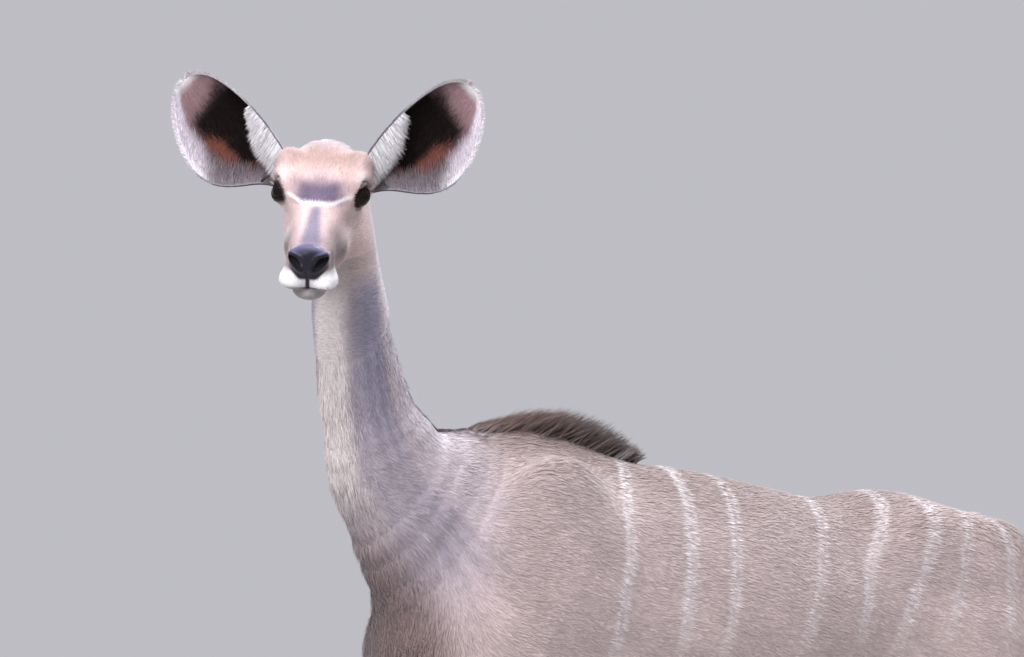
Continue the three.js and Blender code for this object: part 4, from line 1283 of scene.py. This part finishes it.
# %% Roots spread over the skin, denser where the hairs are short
rng = np.random.default_rng(20)
triangles = np.array([t.vertices[:] for t in (skin.data.calc_loop_triangles() or skin.data.loop_triangles)])
skin_points = scene_to_mm(coords(skin))
skin_normals = normals_of(skin)
corner_a, corner_b, corner_c = (skin_points[triangles[:, i]] for i in range(3))
tri_area = np.linalg.norm(np.cross(corner_b - corner_a, corner_c - corner_a), axis=1) / 2
tri_middle = (corner_a + corner_b + corner_c) / 3
print("skin area, square metres:", tri_area.sum() / 1e6)


def open_skin(p):
    """Share of hair: none on the nose, in the eyes and nostrils, or inside the hooves."""
    h = to_head(p)
    share = 1 - nose_pad(h) * (h[:, 1] < -150)
    share = share * np.where(h[:, 1] < -150, ramp(nostril_share(h), 1.6, 2.1), 1)
    for s in (1, -1):
        _, _, c, edge = eye_places(h, s)
        share = share * (1 - (1 - ramp(edge, 4.0, 6.5)) * (c > 0))
    return share * (p[:, 2] > 50)


def scatter(count, weight):
    """Points and normals, spread over the skin's triangles by area and weight."""
    chance = tri_area * weight
    index = rng.choice(len(triangles), count, p=chance / chance.sum())
    r1, r2 = np.sqrt(rng.random(count)), rng.random(count)
    share = np.stack([1 - r1, r1 * (1 - r2), r1 * r2], 1)[:, :, None]
    points = (skin_points[triangles[index]] * share).sum(1)
    normals = unit((skin_normals[triangles[index]] * share).sum(1))
    return points, normals


# %% Blades of hair as one joined mesh
PATCH = 0.003  # the size of each blade's patch on the unwrap


def blades(name, roots, normals, along, length, width, lift, droop, low, high, sink, steps=2):
    """Joined pointed blades. Roots and sizes are in millimetres; lift is the rise per length at the root,
    droop how much of it is lost towards the tip; low and high are the colours of root and tip."""
    count = len(roots)
    across = unit(np.cross(along, normals))
    rows, tones = [], []
    for i in range(steps + 1):
        t = i / steps
        rise = lift * t - droop * t * t
        centre = roots - normals * sink + along * (length * t)[:, None] + normals * (length * rise)[:, None]
        half = width / 2 * (1 - t**1.6)
        tone = low * (1 - t) + high * t
        if i < steps:
            rows += [centre - across * half[:, None], centre + across * half[:, None]]
            tones += [tone, tone]
        else:
            rows.append(centre)
            tones.append(tone)
    per = len(rows)
    points = np.stack(rows, 1).reshape(-1, 3)
    colours = np.stack(tones, 1).reshape(-1, 3)
    quads = [[2 * i, 2 * i + 1, 2 * i + 3, 2 * i + 2] for i in range(steps - 1)]
    tip = [2 * steps - 2, 2 * steps - 1, 2 * steps]
    pattern = np.array([v for q in quads for v in q] + tip)
    sizes = np.array([4] * len(quads) + [3])
    loops = (np.arange(count)[:, None] * per + pattern).ravel()
    starts = np.concatenate([[0], np.cumsum(np.tile(sizes, count))[:-1]])
    mesh = bpy.data.meshes.new(name)
    mesh.vertices.add(len(points))
    mesh.vertices.foreach_set("co", mm_to_scene(points).ravel())
    mesh.loops.add(len(loops))
    mesh.loops.foreach_set("vertex_index", loops.astype(np.int32))
    mesh.polygons.add(len(starts))
    mesh.polygons.foreach_set("loop_start", starts.astype(np.int32))
    mesh.update(calc_edges=True)
    obj = linked(bpy.data.objects.new(name, mesh))
    paint(obj, colours)
    layer = mesh.uv_layers.new(name="OFBake")
    corner = np.array([[-0.5, 0], [0.5, 0]] * steps + [[0, 1.0]])
    corner[:, 1] = np.repeat(np.linspace(0, 1, steps + 1), 2)[:per]
    uv = chart_places(mm_to_scene(roots))
    spread = (uv[:, None, :] + (corner - [0, 0.5]) * PATCH).reshape(-1, 2)
    layer.data.foreach_set("uv", spread[loops].ravel())
    flat = np.repeat(normals, per, 0)
    mesh.polygons.foreach_set("use_smooth", np.ones(len(starts), bool))
    mesh.normals_split_custom_set_from_vertices(unit(flat + 0.15 * rng.normal(size=flat.shape)))
    return obj


# %% Grow the short coat, region by region
def region_of(p):
    """0 head, 1 legs, 2 neck, 3 chest, 4 barrel, 5 rump."""
    h = to_head(p)
    on_head = (h[:, 1] < 80) & (np.linalg.norm(h - [0, -50, -40], axis=1) < 200)
    on_head = on_head & ((h[:, 2] > -114) | (h[:, 1] < -80))
    return np.select(
        [on_head, p[:, 2] < 700, (p[:, 1] < -380) & (p[:, 2] > 1000), p[:, 1] < -150, p[:, 1] < 230],
        [0, 1, 2, 3, 4], 5)


TUFTS = [("coat_head", 56000, 1.15), ("coat_legs", 52000, 1.7), ("coat_neck", 56000, 1.9),
         ("coat_chest", 52000, 2.3), ("coat_barrel", 56000, 2.4), ("coat_rump", 56000, 2.4)]
tri_open = open_skin(tri_middle)
tri_region = region_of(tri_middle)
for i, (name, count, width) in enumerate(TUFTS):
    points, normals = scatter(count, tri_open * (tri_region == i))
    along = lie_of_coat(points, normals)
    along = laid(unit(along + 0.16 * rng.normal(size=along.shape)), normals)
    length = coat_length(points) * rng.uniform(0.7, 1.25, count)
    tone = rng.uniform(0.86, 1.13, count)[:, None]
    root_tone = coat_colour(points, normals) * tone
    tip_tone = coat_colour(points + along * length[:, None], normals) * tone
    coat = blades(name, points, normals, along, length, width * rng.uniform(0.7, 1.2, count),
                  rng.uniform(0.10, 0.24, count) + 1.0 / length, 0.12, root_tone * 0.92,
                  tip_tone * 1.08, sink=0.4)
    finish(coat, FUR)

# %% [markdown]
# ## Long hair
# A short mane stands on the withers and thins out up the nape, longer hair hangs at the brisket, the tail
# ends in a black tuft, a dark fringe falls over the hooves, and a comb of white hair closes off the inner
# edge of each ear. These are longer, softer blades with more steps, so that they bend.


# %% Where the flesh ends along a direction
def surface_along(start, direction, far=420.0):
    """The points where the flesh ends, found by halving the stretch that holds them again and again."""
    near, end = np.zeros(len(start)), np.full(len(start), far)
    for _ in range(18):
        middle = (near + end) / 2
        inside = flesh(start + direction * middle[:, None]) < 0
        near, end = np.where(inside, middle, near), np.where(inside, end, middle)
    return start + direction * near[:, None]


def grow(name, roots, normals, along, length, width, lift, droop, low, high, steps=4, sink=3.0):
    """Blades of long hair, each a little lighter or darker, as a finished piece."""
    tone = rng.uniform(0.75, 1.2, len(roots))[:, None]
    hair = blades(name, roots, normals, unit(along), length, width, lift, droop, low * tone, high * tone,
                  sink=sink, steps=steps)
    return finish(hair, LONG_HAIR)


def places_along(limb, shares, low, high, count):
    """The limb's frame at each share, as one array for each of the frame's values."""
    frames = [limb.frame(t) for t in np.linspace(low, high, count)]
    pick = np.clip(((shares - low) / round(high - low, 9) * (count - 1)).astype(int), 0, count - 1)
    return {key: np.array([frame[key] for frame in frames])[pick] for key in frames[0]}


# %% A dark fringe where the hair of each foot meets the horn
count = 6400
around_hoof = (tri_middle[:, 2] > 52) & (tri_middle[:, 2] < 72)
points, normals = scatter(count, around_hoof.astype(float))
along = laid(unit(np.array([0.0, 0, -1]) + 0.14 * rng.normal(size=(count, 3))), normals)
dark = mix(np.tile(MANE, (count, 1)), FAWN_DARK, rng.random(count) * 0.5)
grow("coronets", points, normals, along, rng.uniform(11, 17, count), rng.uniform(1.2, 2.2, count),
     0.22, 0.10, dark, dark, steps=2, sink=-0.6)

# %% Mane on the withers
count = 7000
y = rng.uniform(-410, -118, count)
x = rng.normal(0, 1, count) * (4 + 6 * np.sin(math.pi * (y + 425) / 320) ** 0.5)
top = surface_along(np.stack([x, y, np.full(count, 1040.0)], 1), np.tile([0.0, 0, 1], (count, 1)))
side = unit(np.stack([x * 0.05, np.full(count, -0.15), np.ones(count)], 1))
swell = np.clip(np.sin(math.pi * np.clip((y + 425) / 330, 0, 1)), 0, 1) ** 0.7
along = unit(np.stack([rng.normal(0, 0.12, count), np.ones(count), rng.normal(0.52, 0.12, count)], 1))
dark = mix(np.tile(MANE, (count, 1)), DARK, rng.random(count) * 0.6)
length = (10 + 52 * swell) * rng.uniform(0.6, 1.1, count)
width = rng.uniform(1.0, 2.0, count)
low = mix(dark, coat_colour(top, side) * 0.8, 0.5 * ramp(np.abs(x), 5, 12))
high = mix(dark * 0.8, RUST, 0.8 * rng.random(count) ** 2 * (0.35 + 0.65 * ramp(-y, 240, 330)))
grow("mane_withers", top - [0, 0, 6], side, along, length, width, 0.22, 0.22, low, high)

# %% Mane up the nape, short and thin
count = 4200
shares = rng.uniform(0.30, 0.93, count)
at = places_along(neck, shares, 0.28, 0.95, 120)
centre = at["at"] + at["along"] * rng.uniform(-6, 6, count)[:, None]
out = np.where(at["front"][:, 1:2] < 0, -at["front"], at["front"])
out = unit(out + at["side"] * rng.normal(0, 0.12, count)[:, None])
root = surface_along(centre, out, 200)
along = laid(-at["along"] + 0.25 * rng.normal(size=(count, 3)), out)
low = mix(coat_colour(root, out), MANE, (rng.random(count) * 0.75) * (1 - 0.7 * ramp(shares, 0.45, 0.8)))
grow("mane_nape", root - out * 3, out, along, (26 - 12 * shares) * rng.uniform(0.6, 1.2, count),
     rng.uniform(0.9, 1.7, count), 0.50, 0.15, low, mix(low, LAVENDER, rng.random(count) * 0.8))

# %% Hair along the throat and the brisket
count = 7500
shares = rng.uniform(0.08, 0.68, count)
at = places_along(neck, shares, 0.06, 0.70, 120)
centre = at["at"] + at["along"] * rng.uniform(-6, 6, count)[:, None]
out = np.where(at["front"][:, 1:2] > 0, -at["front"], at["front"])
out = unit(out + at["side"] * (rng.normal(0, 1, count) * (0.34 - 0.22 * shares))[:, None])
root = surface_along(centre, out, np.where(shares > 0.4, 135, 320))
along = laid(np.array([0.0, 0.1, -1.0]) + 0.16 * rng.normal(size=(count, 3)), out)
low = coat_colour(root, out)
high = coat_colour(root + along * 20, out)
grow("throat_hair", root - out * 4, out, along, (42 - 34 * shares) * rng.uniform(0.6, 1.2, count),
     rng.uniform(1.2, 2.2, count), 0.30, 0.12, low, mix(high, FAWN, rng.random(count) * 0.3) * 1.1)

# %% Tail tuft
TAIL_END = 640  # the height where the longest hairs end
count = 3200
shares = rng.uniform(0.55, 1.0, count)
at = places_along(tail, shares, 0.5, 1.0, 60)
angle = rng.uniform(0, 2 * math.pi, count)
out = np.stack([np.cos(angle), np.sin(angle), np.zeros(count)], 1)
root = at["at"] + out * (at["wide"] - 2)[:, None]
along = np.array([0.0, 0, -1.0]) + 0.08 * rng.normal(size=(count, 3))
length = np.minimum(30 + 110 * ramp(shares, 0.6, 0.95), at["at"][:, 2] - TAIL_END)
low = mix(np.tile(FAWN, (count, 1)), DARK, ramp(shares, 0.72, 0.86))
white_sides = (np.abs(out[:, 0]) > 0.6) & (shares < 0.85)
low = np.where(white_sides[:, None], WHITE, low)
grow("tail_tuft", root, out, along, np.maximum(length, 20) * rng.uniform(0.75, 1.0, count),
     rng.uniform(1.6, 3.0, count), 0.16, 0.10, low, low * 0.9)

# %% Hair of the ears: a white comb along the inner edge, pale and rusty hair in the hollow, a soft rim
def ear_hair(name, s, t, u, heading, length, width, lift, low, high, steps=3, flat=0.0):
    facing = unit(ear_facing(s, t, u) + flat * ear_direction(ear_axes(s)[2]))
    heading = laid(heading + 0.14 * rng.normal(size=heading.shape), facing)
    grow(name, ear_point(s, t, u) + facing * 2.0, facing, heading, length, width, lift, lift * 0.6, low, high,
         sink=0.4, steps=steps)


for s, side in SIDES:
    outer = ear_direction(ear_axes(s)[3])
    upward = ear_direction(ear_axes(s)[1])
    count = 3600
    t = rng.uniform(-0.12, 0.46, count)
    u = rng.uniform(-0.98, -0.50, count)
    size = 9 + 31 * band(t, 0.08, 0.10, 0.34)
    heading = outer * 0.9 + upward * (0.55 * t - 0.22)[:, None]
    pale = mix(np.tile(WHITE, (count, 1)), LAVENDER * 0.7, rng.random(count) ** 2 * 0.9)
    ear_hair("ear_comb_" + side, s, t, u, heading, size * rng.uniform(0.6, 1.15, count),
             rng.uniform(0.9, 1.9, count), 0.16, pale, pale, steps=4, flat=8.0)
    count = 4200
    t = rng.uniform(0.0, 0.93, count)
    u = 1 - 0.62 * rng.random(count) ** 1.2 * (1.1 - 0.45 * t)
    heading = -outer * 0.75 + upward * (0.45 + 0.5 * t)[:, None]
    pale = mix(ear_inside(t, u), LAVENDER * 1.5, ramp(u, 0.5, 0.9) * ramp(t, 0.36, 0.62))
    ear_hair("ear_lining_" + side, s, t, u, heading, rng.uniform(8, 20, count) * (1.15 - 0.5 * t),
             rng.uniform(0.8, 1.6, count), 0.12, pale * 1.1,
             mix(pale, EAR_BROWN, rng.random(count) * 0.6), flat=1.5)
    count = 2200
    t = rng.uniform(0.1, 0.9, count)
    u = rng.uniform(-0.45, 0.6, count)
    heading = upward - outer * rng.uniform(0.1, 0.5, count)[:, None]
    brown = ear_inside(t, u)
    ear_hair("ear_down_" + side, s, t, u, heading, rng.uniform(7, 15, count),
             rng.uniform(0.8, 1.5, count), 0.10, brown, brown * 1.35)
    count = 4600
    around = rng.random(count)
    t = np.where(around < 0.78, rng.uniform(-0.02, 0.95, count), rng.uniform(0.88, 1.0, count))
    u = np.where(rng.random(count) < 0.55, rng.uniform(0.9, 1.0, count), rng.uniform(-1.0, -0.9, count))
    u = np.where(around < 0.78, u, rng.uniform(-1, 1, count))
    heading = upward * 0.85 + outer * (0.42 * np.sign(u))[:, None]
    bright = (0.4 + 0.6 * rng.random(count)) * ramp(t, 0.30, 0.62)
    pale = mix(np.tile(LAVENDER * 0.5, (count, 1)), WHITE, bright)
    pale = mix(pale, NECK_FAWN, 0.6 * (u < 0) * ramp(t, 0.5, 0.8))
    ear_hair("ear_rim_" + side, s, t, u, heading, rng.uniform(4, 9, count),
             rng.uniform(0.8, 1.5, count), 0.1, pale, pale, steps=2, flat=1.5)
    count = 6500
    t = rng.uniform(-0.1, 0.97, count)
    u = rng.uniform(-0.96, 0.96, count)
    facing = -ear_facing(s, t, u)
    heading = laid(upward + 0.15 * rng.normal(size=(count, 3)), facing)
    root = ear_point(s, t, u) + facing * 1.7
    fawn = mix(ear_colour(s, root, facing), FAWN, rng.random(count) * 0.3)
    grow("ear_back_" + side, root, facing, heading, rng.uniform(6, 11, count), rng.uniform(1.2, 2.2, count),
         0.14, 0.1, fawn, fawn, sink=0.6, steps=2)

# %% Lashes of the upper lids
for s, side in SIDES:
    centre, out, long, high = eye_frame(s)
    count = 60
    a = np.linspace(-15.5, 15.5, count) + rng.normal(0, 0.4, count)
    b = LID_UPPER * (1 - np.abs(a / LID_HALF_LENGTH) ** LID_POWER) ** (1 / LID_POWER) + 0.8
    c = np.sqrt(np.maximum((EYE_RADIUS + 1.6) ** 2 - a**2 - b**2, 4))
    root = centre + np.outer(a, long) + np.outer(b, high) + np.outer(c, out)
    along = unit(out * 0.9 + high * 0.45 + np.outer(a / 30, long) + 0.08 * rng.normal(size=(count, 3)))
    facing = unit(np.tile(high, (count, 1)) - along * (along @ high)[:, None])
    black = np.tile(DARK * 0.4, (count, 1))
    grow("lashes_" + side, from_head(root), facing @ HEAD_TURN.T, along @ HEAD_TURN.T,
         rng.uniform(7, 12, count), np.full(count, 0.55), -0.1, -0.35, black, black, sink=0.0)

# %% [markdown]
# ## Floor, light and camera
# A plain pale floor and an even, pale surround keep attention on the animal. Soft light comes from above
# and from behind the back, which gives her the bright line along the spine, with a large soft light beside
# the camera. The camera stands far off with a long lens, a little above her back, as wildlife is seen.

# %% Pale floor, a thin round sheet with a soft edge
deselect()
bpy.ops.mesh.primitive_cylinder_add(vertices=96, radius=4.5, depth=0.02, location=(0, 0, -0.01))
floor = bpy.context.object
floor.name = "studio_floor"
modify(floor, "BEVEL", width=0.008, segments=3)
bpy.ops.object.shade_smooth_by_angle(angle=math.radians(40))
paper = new_material("studio_paper", {"Base Color": (0.36, 0.357, 0.353, 1), "Roughness": 0.85})[0]
floor.data.materials.append(paper)


# %% Soft lights
view_angle = math.radians(60)
toward = Vector((math.sin(view_angle), -math.cos(view_angle), 0))
right = Vector((math.cos(view_angle), math.sin(view_angle), 0))


def disk_light(name, ahead, aside, above, size, power, colour):
    """A round soft light, placed from the body's middle as the camera sees it, and aimed there."""
    light = bpy.data.lights.new(name, "AREA")
    light.shape = "DISK"
    light.size, light.energy, light.color = size, power, colour
    obj = linked(bpy.data.objects.new(name, light))
    place = toward * ahead + right * aside + Vector((0, 0, above))
    obj.location = Vector((0, -0.2, 1.2)) + place
    obj.rotation_euler = (-place).to_track_quat("-Z", "Y").to_euler()
    print(name, "light:", power, "watts")


disk_light("key", 5.0, -2.5, 3.4, 3.5, 290, (1.0, 0.96, 0.99))
disk_light("top", 0.4, 0.0, 4.2, 4.0, 185, (0.96, 0.96, 1.0))
disk_light("back", -2.6, 1.4, 2.6, 2.0, 215, (0.93, 0.95, 1.0))
world = bpy.data.worlds.new("studio")
bpy.context.scene.world = world
world.use_nodes = True
set_inputs(world.node_tree.nodes["Background"], {"Color": (0.93, 0.93, 1.0, 1), "Strength": 0.55})

# %% Camera at the photograph's angle: 60 degrees round to her left, 2 degrees above level
DISTANCE = 13.0
SENSOR = 36
MM_PER_PIXEL = 1.5
WIDTH, HEIGHT = 1024, 657
EYES_PIXEL = (321.5, 193.0)
rise = math.radians(2)
back = toward * math.cos(rise) + Vector((0, 0, math.sin(rise)))
upward = back.cross(right).normalized()
target = eye_middle + right * ((WIDTH / 2 - EYES_PIXEL[0]) * MM_PER_PIXEL / 1000)
target -= upward * ((HEIGHT / 2 - EYES_PIXEL[1]) * MM_PER_PIXEL / 1000)
camera = linked(bpy.data.objects.new("camera", bpy.data.cameras.new("camera")))
camera.data.sensor_width = SENSOR
camera.data.lens = SENSOR * DISTANCE / (WIDTH * MM_PER_PIXEL / 1000)
camera.data.clip_end = 100
camera.location = target + back * DISTANCE
camera.rotation_euler = (-back).to_track_quat("-Z", "Y").to_euler()
bpy.context.scene.camera = camera
bpy.context.scene.view_settings.view_transform = "Standard"
print("lens:", round(camera.data.lens, 1), "mm")
